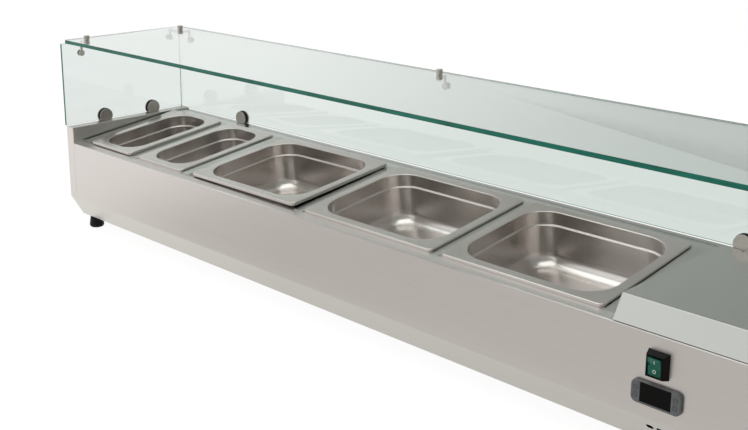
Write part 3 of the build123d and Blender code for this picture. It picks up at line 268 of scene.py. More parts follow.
def drawn_copper():
    """Soft-drawn copper tube: warm metal with duller oxidised patches."""
    material, tree, shader = start_material("drawn_copper_tube", "#b87350", metallic=1.0, roughness=0.3)
    patches = even_pattern(tree, detail=3.0, size=25 * MM)
    vary_colour(tree, shader, patches, "#9a5a3c", "#c78360")
    vary_roughness(tree, shader, patches, low=0.25, high=0.45)
    return material


def moulded(name, tones, roughness, grain, relief, shine=0.5):
    """Moulded plastic or rubber: a fine eroded grain with a slight change of tone, and a surface shine."""
    dark, light = tones
    low, high = roughness
    material, tree, shader = start_material(name, light, metallic=0.0, roughness=low)
    shader.inputs["Specular IOR Level"].default_value = shine
    texture = even_pattern(tree, detail=3.0, size=grain)
    vary_colour(tree, shader, texture, dark, light)
    vary_roughness(tree, shader, texture, low, high)
    add_relief(tree, shader, texture, height=relief, strength=0.4)
    return material


def black_switch_hood():
    """Soft PVC splash hood over the switch: black, with a satin skin."""
    return moulded(
        "pvc_splash_hood", tones=("#020202", "#050505"), roughness=(0.3, 0.4),
        grain=1.2 * MM, relief=0.02 * MM, shine=0.12,
    )


def green_rocker():
    """Clear-tinted polycarbonate rocker: deep green that glows a little where light goes in."""
    material, tree, shader = start_material(
        "tinted_polycarbonate_rocker", "#015a48", metallic=0.0, roughness=0.16,
    )
    shader.inputs["Specular IOR Level"].default_value = 0.3
    shader.inputs["Subsurface Weight"].default_value = 0.25
    shader.inputs["Subsurface Radius"].default_value = (0.2 * MM, 1.2 * MM, 0.9 * MM)
    shader.inputs["Coat Weight"].default_value = 0.1
    swirl = object_pattern(tree, detail=2.0, sizes=(6 * MM, 6 * MM, 9 * MM))
    colours = bpy.context.scene.topping_colours
    vary_colour(tree, shader, swirl, colours.rocker_dark, colours.rocker_light)
    return material


def white_pad_print():
    """Pad-printed white ink on the rocker, slightly uneven in cover."""
    return moulded(
        "pad_printed_white_ink", tones=("#cfd6d2", "#e6ece8"), roughness=(0.4, 0.55),
        grain=0.5 * MM, relief=0.005 * MM,
    )


def grey_bezel():
    """Grey ABS bezel with a fine spark-eroded grain."""
    colours = bpy.context.scene.topping_colours
    return moulded(
        "spark_eroded_grey_abs", tones=(colours.bezel_dark, colours.bezel_light),
        roughness=(0.42, 0.55), grain=1.0 * MM, relief=0.03 * MM,
    )


def grey_keys():
    """ABS keys, a shade darker than the bezel and worn smoother."""
    return moulded(
        "worn_grey_abs_keys", tones=("#515456", "#5a5d5f"), roughness=(0.34, 0.46),
        grain=1.0 * MM, relief=0.02 * MM,
    )


def smoked_window():
    """Smoked acrylic window over the unlit digits: near black with a clear gloss and faint wipe marks."""
    material, tree, shader = start_material(
        "smoked_acrylic_window", "#060505", metallic=0.0, roughness=0.08,
    )
    shader.inputs["Specular IOR Level"].default_value = 0.12
    wipes = object_pattern(tree, detail=2.0, sizes=(30 * MM, 30 * MM, 4 * MM))
    vary_roughness(tree, shader, wipes, low=0.05, high=0.14)
    return material


def float_glass():
    """Soda-lime float glass: clear with a cool tint, and let through as a thin pane by shadow rays."""
    tint = bpy.context.scene.topping_colours.glass_tint
    material, tree, shader = start_material(
        "soda_lime_float_glass", tint, metallic=0.0, roughness=0.0,
    )
    shader.inputs["Transmission Weight"].default_value = 1.0
    shader.inputs["IOR"].default_value = 1.5
    ripple = even_pattern(tree, detail=1.0, size=260 * MM)
    add_relief(tree, shader, ripple, height=0.02 * MM, strength=0.2)
    clear = add_node(tree, "ShaderNodeBsdfTransparent", {"Color": linear("#eef7f3")})
    path = add_node(tree, "ShaderNodeLightPath")
    indirect = add_node(
        tree, "ShaderNodeMath", {"operation": "MAXIMUM"},
        {0: path.outputs["Is Shadow Ray"], 1: path.outputs["Is Diffuse Ray"]},
    )
    mix = add_node(
        tree, "ShaderNodeMixShader", {},
        {0: indirect.outputs["Value"], 1: shader.outputs["BSDF"], 2: clear.outputs["BSDF"]},
    )
    tree.links.new(mix.outputs["Shader"], tree.nodes["Material Output"].inputs["Surface"])
    return material


def ground_glass_edge():
    """Ground and polished edge of the same glass: light from inside the pane makes it deep green."""
    material, tree, shader = start_material(
        "polished_float_glass_edge", "#0b7361", metallic=0.0, roughness=0.18,
    )
    shader.inputs["Specular IOR Level"].default_value = 0.3
    shader.inputs["Transmission Weight"].default_value = 0.25
    shader.inputs["IOR"].default_value = 1.5
    bands = object_pattern(tree, detail=2.0, sizes=(60 * MM, 60 * MM, 5 * MM))
    colours = bpy.context.scene.topping_colours
    vary_colour(tree, shader, bands, colours.edge_dark, colours.edge_light)
    return material


def satin_nickel():
    """Die-cast zinc clamps plated in satin nickel: warm grey metal with a fine, uneven satin."""
    material, tree, shader = start_material(
        "satin_nickel_die_casting", "#c2bcb6", metallic=1.0, roughness=0.3,
    )
    satin = even_pattern(tree, detail=3.0, size=1.2 * MM)
    vary_roughness(tree, shader, satin, low=0.28, high=0.36)
    vary_colour(tree, shader, satin, "#bbb5af", "#c6c0ba")
    return material


def black_gasket():
    """Extruded EPDM gasket: dull black."""
    return moulded(
        "epdm_gasket", tones=("#090909", "#131313"), roughness=(0.6, 0.75),
        grain=1.0 * MM, relief=0.03 * MM,
    )


def black_foot():
    """Moulded rubber for feet, plug and grommets: near black, with a fine dull grain."""
    return moulded(
        "moulded_rubber_foot", tones=("#070708", "#0e0e0f"), roughness=(0.4, 0.55),
        grain=2.0 * MM, relief=0.05 * MM, shine=0.2,
    )


def zinc_plate():
    """Bright zinc plated fasteners with a slight blue passivation."""
    material, tree, shader = start_material(
        "blue_passivated_zinc", "#b9bcc0", metallic=1.0, roughness=0.3,
    )
    film = even_pattern(tree, detail=2.0, size=5 * MM)
    vary_colour(tree, shader, film, "#a9adb6", "#c4c4bd")
    return material


def black_enamel():
    """Stoved black enamel on the compressor shell, with a light orange peel."""
    material, tree, shader = start_material(
        "stoved_black_enamel", "#0d0d0e", metallic=0.0, roughness=0.3,
    )
    shader.inputs["Coat Weight"].default_value = 0.5
    peel = even_pattern(tree, detail=2.0, size=3 * MM)
    vary_roughness(tree, shader, peel, low=0.25, high=0.38)
    add_relief(tree, shader, peel, height=0.05 * MM, strength=0.4)
    return material


def mill_aluminium():
    """Rolled aluminium fins with faint roll lines."""
    material, tree, shader = start_material(
        "rolled_aluminium_fin", "#c6c8ca", metallic=1.0, roughness=0.3,
    )
    lines = object_pattern(tree, detail=2.0, sizes=(2 * MM, 2 * MM, 60 * MM))
    vary_roughness(tree, shader, lines, low=0.25, high=0.4)
    vary_colour(tree, shader, lines, "#babcbe", "#d0d2d4")
    return material


def cast_motor_case():
    """Die-cast motor case in grey paint."""
    return moulded(
        "painted_die_cast_case", tones=("#6a6d70", "#777a7d"), roughness=(0.45, 0.6),
        grain=2.0 * MM, relief=0.06 * MM,
    )


def polished_probe():
    """Polished stainless probe sleeve with light handling scratches."""
    material, tree, shader = start_material(
        "polished_probe_sleeve", "#c3c3c1", metallic=1.0, roughness=0.15,
    )
    scratches = object_pattern(tree, detail=3.0, sizes=(2 * MM, 2 * MM, 15 * MM))
    vary_roughness(tree, shader, scratches, low=0.1, high=0.25)
    return material


def grey_terminal_box():
    """Pale grey ABS terminal box."""
    return moulded(
        "pale_grey_abs_box", tones=("#858889", "#929596"), roughness=(0.45, 0.6),
        grain=1.5 * MM, relief=0.04 * MM,
    )


def black_nylon():
    """Glass-filled nylon: black with a faint dry sheen."""
    return moulded(
        "glass_filled_black_nylon", tones=("#101011", "#1b1b1c"), roughness=(0.4, 0.55),
        grain=1.5 * MM, relief=0.04 * MM,
    )


FINISHES = {
    "panel_steel": body_sheet,
    "deck_steel": deck_sheet,
    "pan_steel": deep_drawn_pan,
    "well_steel": well_sheet,
    "galvanised_steel": galvanised_sheet,
    "foam": foam_block,
    "copper": drawn_copper,
    "drain_plastic": black_nylon,
    "plug_rubber": black_foot,
    "switch_plastic": black_switch_hood,
    "rocker_plastic": green_rocker,
    "switch_marks": white_pad_print,
    "bezel_plastic": grey_bezel,
    "window_plastic": smoked_window,
    "key_plastic": grey_keys,
    "float_glass": float_glass,
    "glass_edge": ground_glass_edge,
    "clamp_metal": satin_nickel,
    "gasket_rubber": black_gasket,
    "foot_rubber": black_foot,
    "zinc_screws": zinc_plate,
    "compressor_paint": black_enamel,
    "grommet_rubber": black_foot,
    "relay_plastic": black_nylon,
    "fin_aluminium": mill_aluminium,
    "fan_plastic": black_nylon,
    "motor_metal": cast_motor_case,
    "probe_steel": polished_probe,
    "terminal_plastic": grey_terminal_box,
    "gland_plastic": black_nylon,
}
MADE = {}


def finish_for(slot):
    """The material for a record slot, made once."""
    maker = FINISHES[slot]
    if maker not in MADE:
        MADE[maker] = maker()
    return MADE[maker]


# Pieces

def place_piece(name, shape, slot, body, replaced=()):
    """Turns a bmesh into a finished piece that rides on its body."""
    mesh = bpy.data.meshes.new(name)
    shape.to_mesh(mesh)
    shape.free()
    mesh.materials.append(finish_for(slot))
    piece = bpy.data.objects.new(name, mesh)
    bpy.context.scene.collection.objects.link(piece)
    if replaced:
        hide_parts(*replaced)
    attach(piece, body)
    return piece


def smooth_by_angle(piece, degrees):
    """Rounded faces shade as one, and folds and rims stay crisp."""
    piece.data.shade_smooth()
    piece.data.set_sharp_from_angle(angle=math.radians(degrees))
    keep = piece.modifiers.new("even_normals", "WEIGHTED_NORMAL")
    keep.keep_sharp = True


def welded_copy(node, degrees):
    """A node's own shape with its triangles joined, so that its curves shade smoothly."""
    shape = bmesh.new()
    shape.from_mesh(NODES[node].data)
    weld = bpy.context.scene.topping_sizes.weld_distance
    bmesh.ops.remove_doubles(shape, verts=shape.verts, dist=weld)
    piece = place_piece(f"{node}_finished", shape, SLOTS[node], body_of_node(node), (node,))
    smooth_by_angle(piece, degrees)
    return piece


def finish_nodes(names):
    """Gives CAD nodes that stay as they are the finish of their slot."""
    for name in names:
        mesh = NODES[name].data
        mesh.materials.clear()
        mesh.materials.append(finish_for(SLOTS[name]))


def round_folds(piece, radius):
    """Small rounds on the folds and cut edges of a sheet, which catch the light."""
    rounds = piece.modifiers.new("fold_rounds", "BEVEL")
    rounds.width = radius
    rounds.segments = bpy.context.scene.topping_sizes.fold_segments
    rounds.limit_method = "ANGLE"
    rounds.angle_limit = math.radians(bpy.context.scene.topping_sizes.crisp_angle)
    rounds.use_clamp_overlap = True
    piece.modifiers.move(len(piece.modifiers) - 1, 0)


class ToppingSizes(bpy.types.PropertyGroup):
    """Sizes of the small forms on sheets and switch."""

    weld_distance: bpy.props.FloatProperty(
        name="Weld distance", description="Corners nearer than this are one corner",
        default=0.002 * MM, unit="LENGTH", precision=6,
    )
    crisp_angle: bpy.props.FloatProperty(
        name="Crisp angle", description="Edges that turn by more than this stay sharp, in degrees",
        default=32.0,
    )
    fold_round: bpy.props.FloatProperty(
        name="Fold round", description="Radius on the folds and cut edges of the sheets",
        default=0.45 * MM, unit="LENGTH", precision=5,
    )
    fold_segments: bpy.props.IntProperty(
        name="Fold segments", description="Facets across each fold", default=2,
    )
    mark_height: bpy.props.FloatProperty(
        name="Mark height", description="Height of the switch marks", default=5.6 * MM, unit="LENGTH",
    )
    mark_stroke: bpy.props.FloatProperty(
        name="Mark stroke", description="Line width of the switch marks",
        default=0.9 * MM, unit="LENGTH",
    )
    mark_segments: bpy.props.IntProperty(
        name="Mark segments", description="Facets round the O", default=40,
    )
    mark_ink: bpy.props.FloatProperty(
        name="Ink thickness", description="How far the printed ink stands up",
        default=0.06 * MM, unit="LENGTH",
    )


class PanSizes(bpy.types.PropertyGroup):
    """Sizes of the deep-drawn pans and of the deck that they hang in."""

    deck_tilt: bpy.props.FloatProperty(
        name="Deck tilt", description="Slope of the deck, in degrees", default=7.3,
    )
    fold_height: bpy.props.FloatProperty(
        name="Fold height", description="Height of the deck at the front face",
        default=212.5 * MM, unit="LENGTH",
    )
    front: bpy.props.FloatProperty(
        name="Front", description="From the front face to the near rims", default=21 * MM, unit="LENGTH",
    )
    left_end: bpy.props.FloatProperty(
        name="Left end", description="X of the body's left end", default=-900 * MM, unit="LENGTH",
    )
    front_face: bpy.props.FloatProperty(
        name="Front face", description="Y that the pans start from, 0.5 mm behind the body's front face",
        default=-164.85 * MM, unit="LENGTH",
    )
    seat: bpy.props.FloatProperty(
        name="Seat", description="Clearance under the rims", default=0.3 * MM, unit="LENGTH",
    )
    length: bpy.props.FloatProperty(
        name="Length", description="Length of every pan", default=265 * MM, unit="LENGTH",
    )
    rim: bpy.props.FloatProperty(
        name="Rim", description="Width of the flat rim", default=18 * MM, unit="LENGTH",
    )
    rim_drop: bpy.props.FloatProperty(
        name="Rim drop", description="Height of the rim's turned-down edge", default=6 * MM, unit="LENGTH",
    )
    rim_corner: bpy.props.FloatProperty(
        name="Rim corner", description="Corner radius of the rim", default=10 * MM, unit="LENGTH",
    )
    upper_depth: bpy.props.FloatProperty(
        name="Shoulder depth", description="From the rim's top to the shoulder",
        default=26 * MM, unit="LENGTH",
    )
    depth: bpy.props.FloatProperty(
        name="Depth", description="From the rim's top to the floor", default=100 * MM, unit="LENGTH",
    )
    shoulder: bpy.props.FloatProperty(
        name="Shoulder", description="Width of the stacking shoulder", default=3.5 * MM, unit="LENGTH",
    )
    draft: bpy.props.FloatProperty(
        name="Draft", description="Lean of the lower walls, in degrees", default=4.0,
    )
    floor_round: bpy.props.FloatProperty(
        name="Floor round", description="Radius between walls and floor", default=24 * MM, unit="LENGTH",
    )
    edge_round: bpy.props.FloatProperty(
        name="Edge round", description="Radius of the rim's edges and the shoulder",
        default=1.6 * MM, unit="LENGTH",
    )
    sheet: bpy.props.FloatProperty(
        name="Sheet", description="Thickness of the drawn sheet", default=0.9 * MM, unit="LENGTH",
    )
    corner_segments: bpy.props.IntProperty(
        name="Corner segments", description="Facets round each corner", default=20,
    )
    edge_segments: bpy.props.IntProperty(
        name="Edge segments", description="Facets across each small round", default=4,
    )
    floor_segments: bpy.props.IntProperty(
        name="Floor segments", description="Facets across the round between walls and floor", default=12,
    )
    crisp_angle: bpy.props.FloatProperty(
        name="Crisp angle", description="Edges that turn by more than this stay sharp, in degrees",
        default=50.0,
    )


class ToppingColours(bpy.types.PropertyGroup):
    """Colours of the glass, the switch and the thermostat's bezel, some between two tones."""

    glass_tint: bpy.props.FloatVectorProperty(
        name="Glass tint", description="The colour that the panes let through",
        default=linear("#edf2f0"), size=4, min=0.0, max=1.0, subtype="COLOR",
    )
    edge_dark: bpy.props.FloatVectorProperty(
        name="Glass edge, dark", description="Darker tone of the panes' ground edges",
        default=linear("#056353"), size=4, min=0.0, max=1.0, subtype="COLOR",
    )
    edge_light: bpy.props.FloatVectorProperty(
        name="Glass edge, light", description="Lighter tone of the panes' ground edges",
        default=linear("#138672"), size=4, min=0.0, max=1.0, subtype="COLOR",
    )
    rocker_dark: bpy.props.FloatVectorProperty(
        name="Rocker, dark", description="Darker tone of the switch rocker",
        default=linear("#014b3c"), size=4, min=0.0, max=1.0, subtype="COLOR",
    )
    rocker_light: bpy.props.FloatVectorProperty(
        name="Rocker, light", description="Lighter tone of the switch rocker",
        default=linear("#016652"), size=4, min=0.0, max=1.0, subtype="COLOR",
    )
    bezel_dark: bpy.props.FloatVectorProperty(
        name="Bezel, dark", description="Darker tone of the thermostat's bezel",
        default=linear("#5b5e60"), size=4, min=0.0, max=1.0, subtype="COLOR",
    )
    bezel_light: bpy.props.FloatVectorProperty(
        name="Bezel, light", description="Lighter tone of the thermostat's bezel",
        default=linear("#626567"), size=4, min=0.0, max=1.0, subtype="COLOR",
    )


class StudioSizes(bpy.types.PropertyGroup):
    """The lamp, the room and the floor."""

    lamp_place: bpy.props.FloatVectorProperty(
        name="Lamp place", description="Middle of the soft light overhead",
        default=(-0.4, -0.5, 3.2), subtype="XYZ",
    )
    lamp_target: bpy.props.FloatVectorProperty(
        name="Lamp target", description="The point that the lamp faces",
        default=(0, 0, 0.25), subtype="XYZ",
    )
    lamp_size: bpy.props.FloatVectorProperty(
        name="Lamp size", description="Length and width of the lamp", default=(3.4, 2.8), size=2,
    )
    lamp_level: bpy.props.FloatProperty(
        name="Lamp level", description="Power of the lamp, in watts", default=46.0,
    )
    room_level: bpy.props.FloatProperty(
        name="Room level", description="Strength of the light from the room", default=1.0,
    )
    floor_reach: bpy.props.FloatProperty(
        name="Floor reach", description="From the middle of the floor to its sides", default=20.0,
        unit="LENGTH",
    )
    paper_glow: bpy.props.FloatProperty(
        name="Paper glow", description="Strength of the white that is seen of the floor", default=1.08,
    )
    glow_share: bpy.props.FloatProperty(
        name="Glow share", description="How much of the floor's look is glow, the rest being shaded paper",
        default=0.86,
    )


class CameraSizes(bpy.types.PropertyGroup):
    """Where the photograph was taken from."""

    place: bpy.props.FloatVectorProperty(
        name="Place", description="The camera's place", default=(1.4428, -1.50235, 0.8653), subtype="XYZ",
    )
    bearing: bpy.props.FloatProperty(
        name="Bearing", description="How far the view turns left of the depth axis, in degrees",
        default=44.62,
    )
    dip: bpy.props.FloatProperty(
        name="Dip", description="How far the view looks down, in degrees", default=13.99,
    )
    roll: bpy.props.FloatProperty(
        name="Roll", description="Turn about the view direction, in degrees", default=-0.17,
    )
    focal_length: bpy.props.FloatProperty(
        name="Focal length", description="In millimetres", default=54.22,
    )
    sensor_width: bpy.props.FloatProperty(
        name="Sensor width", description="In millimetres", default=36.0,
    )
    shift: bpy.props.FloatProperty(
        name="Vertical shift", description="Part of the picture's width that the lens is shifted by",
        default=-0.1003,
    )
    farthest: bpy.props.FloatProperty(
        name="Farthest", description="Nothing beyond this is seen", default=100.0, unit="LENGTH",
    )


class TOPPING_OT_sheets(bpy.types.Operator):
    """Body sheets, end panels, rail, bars and cover in brushed stainless steel"""

    bl_idname = "topping.sheets"
    bl_label = "Body sheets"

    def execute(self, context):
        crisp = context.scene.topping_sizes.crisp_angle
        sheets = ["front_panel", "rear_panel", "left_end_panel", "right_end_panel", "compressor_cover"]
        bars = [name for name in NODES if name.startswith("bar_") or name.endswith("_filler_bar")]
        for name in sheets + bars:
            piece = welded_copy(name, crisp)
            round_folds(piece, context.scene.topping_sizes.fold_round)
        return {"FINISHED"}


# Left edge from the body's left end, width, mouth corner radius, leans to side and front in degrees
PAN_ROW = {
    "pan_1": (70 * MM, 162 * MM, 45 * MM, 0.0, 0.35),
    "pan_2": (262 * MM, 162 * MM, 45 * MM, 0.0, 0.0),
    "pan_3": (461.5 * MM, 325 * MM, 55 * MM, -0.5, 0.5),
    "pan_4": (814 * MM, 325 * MM, 55 * MM, 0.0, 0.0),
    "pan_5": (1158.5 * MM, 325 * MM, 55 * MM, 0.0, 0.0),
}


def first_ring(shape, width, length, corner, segments):
    """The edges of a rounded rectangle about the origin."""
    made = bmesh.ops.create_grid(shape, x_segments=1, y_segments=1, size=0.5)
    bmesh.ops.scale(shape, verts=made["verts"], vec=(width, length, 1))
    bmesh.ops.bevel(
        shape, geom=made["verts"], affect="VERTICES", offset=corner, segments=segments,
        profile=ROUND_PROFILE, material=-1,
    )
    edges = shape.edges[:]
    bmesh.ops.delete(shape, geom=shape.faces[:], context="FACES_ONLY")
    return edges


def next_ring(shape, ring, old, new):
    """Extrudes a rounded ring to another half width, half length, corner radius and height."""
    grown = bmesh.ops.extrude_edge_only(shape, edges=ring)["geom"]
    verts = {item for item in grown if isinstance(item, bmesh.types.BMVert)}
    for vert in verts:
        side = math.copysign(1, vert.co.x)
        end = math.copysign(1, vert.co.y)
        across = (vert.co.x - side * (old[0] - old[2])) / old[2]
        along = (vert.co.y - end * (old[1] - old[2])) / old[2]
        vert.co.x = side * (new[0] - new[2]) + across * new[2]
        vert.co.y = end * (new[1] - new[2]) + along * new[2]
        vert.co.z = new[3]
    return [item for item in grown if isinstance(item, bmesh.types.BMEdge) and set(item.verts) <= verts]


def drawn_pan(width, mouth_corner):
    """One pan about the middle of its rim, with height zero at the rim's lower edge."""
    sizes = bpy.context.scene.topping_pans
    half = (width / 2, sizes.length / 2)
    lean = (sizes.depth - sizes.upper_depth) * math.tan(math.radians(sizes.draft))
    ledge = sizes.rim_drop - sizes.upper_depth
    inner = sizes.rim + sizes.shoulder
    inner_corner = mouth_corner - sizes.shoulder
    steps = [
        (0, sizes.rim_corner, sizes.rim_drop, sizes.edge_round),
        (sizes.rim, mouth_corner, sizes.rim_drop, sizes.edge_round),
        (sizes.rim, mouth_corner, ledge, sizes.edge_round),
        (inner, inner_corner, ledge, sizes.edge_round),
        (inner + lean, inner_corner - lean, sizes.rim_drop - sizes.depth, sizes.floor_round),
    ]
    shape = bmesh.new()
    ring = first_ring(shape, width, sizes.length, sizes.rim_corner, sizes.corner_segments)
    old = (*half, sizes.rim_corner, 0)
    rings = []
    for inset, corner, height, _ in steps:
        new = (half[0] - inset, half[1] - inset, corner, height)
        ring = next_ring(shape, ring, old, new)
        rings.append(ring)
        old = new
    bmesh.ops.edgeloop_fill(shape, edges=ring)
    for ring, (_, _, _, radius) in zip(rings, steps):
        segments = sizes.floor_segments if radius > sizes.edge_round else sizes.edge_segments
        bmesh.ops.bevel(
            shape, geom=ring, affect="EDGES", offset=radius, segments=segments,
            profile=ROUND_PROFILE, material=-1,
        )
    bmesh.ops.recalc_face_normals(shape, faces=shape.faces)
    floor = min(shape.faces, key=lambda face: face.calc_center_median().z)
    if floor.normal.z < 0:
        bmesh.ops.reverse_faces(shape, faces=shape.faces)
    bmesh.ops.solidify(shape, geom=shape.faces, thickness=sizes.sheet)
    bmesh.ops.recalc_face_normals(shape, faces=shape.faces)
    return shape


def pan_place(left, width, side, front):
    """From a pan about its own middle to its seat on the sloping deck."""
    sizes = bpy.context.scene.topping_pans
    body = Matrix.Translation((sizes.left_end, sizes.front_face, sizes.fold_height))
    deck = Matrix.Rotation(math.radians(sizes.deck_tilt), 4, "X")
    corner = Matrix.Translation((left, sizes.front, sizes.seat))
    across = Matrix.Rotation(math.radians(side), 4, "Y")
    back_edge = Matrix.Translation((0, sizes.length, 0))
    down = Matrix.Rotation(math.radians(-front), 4, "X")
    middle = Matrix.Translation((width / 2, sizes.length / 2, 0))
    return body @ deck @ corner @ across @ back_edge @ down @ back_edge.inverted() @ middle


class TOPPING_OT_pans(bpy.types.Operator):
    """Five deep-drawn pans, with the soft curves of their shoulders and floors"""

    bl_idname = "topping.pans"
    bl_label = "Pans"

    def execute(self, context):
        for name, (left, width, mouth_corner, side, front) in PAN_ROW.items():
            shape = drawn_pan(width, mouth_corner)
            bmesh.ops.transform(shape, matrix=pan_place(left, width, side, front), verts=shape.verts)
            pan = place_piece(f"{name}_drawn", shape, SLOTS[name], body_of_node(name), (name,))
            smooth_by_angle(pan, context.scene.topping_pans.crisp_angle)
        return {"FINISHED"}


class TOPPING_OT_panes(bpy.types.Operator):
    """Four panes of float glass with ground green edges"""

    bl_idname = "topping.panes"
    bl_label = "Glass panes"

    def execute(self, context):
        for name, thin_axis in THIN_AXES.items():
            piece = welded_copy(name, context.scene.topping_sizes.crisp_angle)
            piece.data.materials.append(finish_for("glass_edge"))
            for polygon in piece.data.polygons:
                if abs(polygon.normal[thin_axis]) < PANE_EDGE_SHARE:
                    polygon.material_index = 1
        return {"FINISHED"}


class TOPPING_OT_clamps(bpy.types.Operator):
    """Glass holders, connectors and gaskets"""

    bl_idname = "topping.clamps"
    bl_label = "Clamps"

    def execute(self, context):
        names = ("glass_holders", "glass_holder_gaskets", "glass_connectors", "glass_connector_caps")
        for name in names:
            welded_copy(name, context.scene.topping_sizes.crisp_angle)
        return {"FINISHED"}


def rocker_frame(upper):
    """A frame on one half of the rocker's face, from the node's own triangles."""
    mesh = NODES["switch_rocker"].data
    low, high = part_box("switch_rocker")
    middle = (low.z + high.z) / 2
    best = None
    for polygon in mesh.polygons:
        faces_front = -polygon.normal.y > MARKED_FACE_SHARE
        same_half = (polygon.center.z > middle) == upper
        if same_half and faces_front and (best is None or polygon.area > best.area):
            best = polygon
    out = Vector(best.normal)
    right = Vector((1, 0, 0))
    up = out.cross(right)
    if up.z < 0:
        up = -up
    corners = [mesh.vertices[index].co for index in best.vertices]
    height = middle + (1 if upper else -1) * (high.z - low.z) / 4
    start = Vector(corners[0])
    along = (height - start.z) / up.z
    spot = start + up * along
    spot.x = (low.x + high.x) / 2
    return Matrix((
        (right.x, up.x, out.x, spot.x),
        (right.y, up.y, out.y, spot.y),
        (right.z, up.z, out.z, spot.z),
        (0, 0, 0, 1),
    ))


class TOPPING_OT_switch(bpy.types.Operator):
    """Splash hood, green rocker and its printed I and O"""

    bl_idname = "topping.switch"
    bl_label = "Switch"

    def execute(self, context):
        sizes = context.scene.topping_sizes
        for name in ("switch_housing", "switch_rocker"):
            welded_copy(name, sizes.crisp_angle)
        bar = bmesh.new()
        bmesh.ops.create_cube(bar, size=1.0)
        bar_size = (sizes.mark_stroke, sizes.mark_height, 2 * sizes.mark_ink)
        bmesh.ops.scale(bar, verts=bar.verts, vec=bar_size)
        bmesh.ops.transform(bar, matrix=rocker_frame(True), verts=bar.verts)
        place_piece("switch_mark_on", bar, "switch_marks", "switch_rocker")
        ring = bmesh.new()
        bmesh.ops.create_circle(
            ring, cap_ends=True, segments=sizes.mark_segments, radius=sizes.mark_height / 2,
        )
        bmesh.ops.inset_region(
            ring, faces=ring.faces[:], thickness=sizes.mark_stroke, use_boundary=True, use_even_offset=True,
        )
        inner = min(ring.faces, key=lambda face: max(vert.co.length for vert in face.verts))
        bmesh.ops.delete(ring, geom=[inner], context="FACES_ONLY")
        raised = bmesh.ops.extrude_face_region(ring, geom=ring.faces[:])
        lifted = [item for item in raised["geom"] if isinstance(item, bmesh.types.BMVert)]
        bmesh.ops.translate(ring, verts=lifted, vec=(0, 0, sizes.mark_ink))
        bmesh.ops.recalc_face_normals(ring, faces=ring.faces)
        bmesh.ops.transform(ring, matrix=rocker_frame(False), verts=ring.verts)
        place_piece("switch_mark_off", ring, "switch_marks", "switch_rocker")
        return {"FINISHED"}


class TOPPING_OT_thermostat(bpy.types.Operator):
    """Thermostat bezel, smoked window and four keys"""

    bl_idname = "topping.thermostat"
    bl_label = "Thermostat"

    def execute(self, context):
        crisp = context.scene.topping_sizes.crisp_angle
        for name in [name for name in NODES if name.startswith("thermostat_")]:
            welded_copy(name, crisp)
        return {"FINISHED"}


class TOPPING_OT_feet(bpy.types.Operator):
    """Rubber feet, drain and cord gland"""

    bl_idname = "topping.feet"
    bl_label = "Feet and outlets"

    def execute(self, context):
        for name in ("rubber_feet", "cable_gland", "drain_fitting", "drain_plug"):
            welded_copy(name, context.scene.topping_sizes.crisp_angle)
        return {"FINISHED"}


class TOPPING_OT_machine(bpy.types.Operator):
    """Everything inside: well, foam, coil, compressor, condenser, fan and pipes"""

    bl_idname = "topping.machine"
    bl_label = "Inner pieces"

    def execute(self, context):
        crisp = context.scene.topping_sizes.crisp_angle
        round_pieces = (
            "cold_coil", "compressor", "condenser_tube", "fan_motor", "fan_blade", "fan_shroud",
            "discharge_pipe", "filter_drier", "liquid_pipes", "suction_pipe", "inner_well",
        )
        for name in round_pieces:
            welded_copy(name, crisp)
        plain = (
            "bottom_plate", "well_insulation", "partition_wall", "compressor_mount_plate",
            "compressor_grommets", "compressor_bolts", "compressor_relay_cover", "condenser_fins",
            "fan_bracket", "temperature_probe", "terminal_box", "foot_bolts", "body_screws",
        )
        finish_nodes(plain)
        return {"FINISHED"}


def row_of_shades(tree, value, span, shades):
    """Shades that follow one another while a value runs from the start to the end of its span."""
    start, end = span
    share = add_node(tree, "ShaderNodeMapRange", {"From Min": start, "From Max": end}, {"Value": value})
    row = add_node(tree, "ShaderNodeValToRGB", {}, {"Fac": share.outputs["Result"]})
    while len(row.color_ramp.elements) < len(shades):
        row.color_ramp.elements.new(1.0)
    for element, (position, colour) in zip(row.color_ramp.elements, shades):
        element.position = position
        element.color = linear(colour)
    return row.outputs["Color"]


def give_way(tree, value, span, first, second):
    """One row of shades that gives way to another while a value runs through its span."""
    start, end = span
    share = add_node(tree, "ShaderNodeMapRange", {"From Min": start, "From Max": end}, {"Value": value})
    mixed = add_node(
        tree, "ShaderNodeMix", {"data_type": "RGBA"},
        {"Factor": share.outputs["Result"], "A": first, "B": second},
    )
    return mixed.outputs["Result"]


def white_to_camera(tree, path, mirrored):
    """Plain white where the camera looks straight at it, and its shades in steel and glass."""
    white = add_node(tree, "ShaderNodeRGB")
    white.outputs["Color"].default_value = linear("#ffffff")
    mixed = add_node(
        tree, "ShaderNodeMix", {"data_type": "RGBA"},
        {"Factor": path.outputs["Is Camera Ray"], "A": mirrored, "B": white.outputs["Color"]},
    )
    return mixed.outputs["Result"]


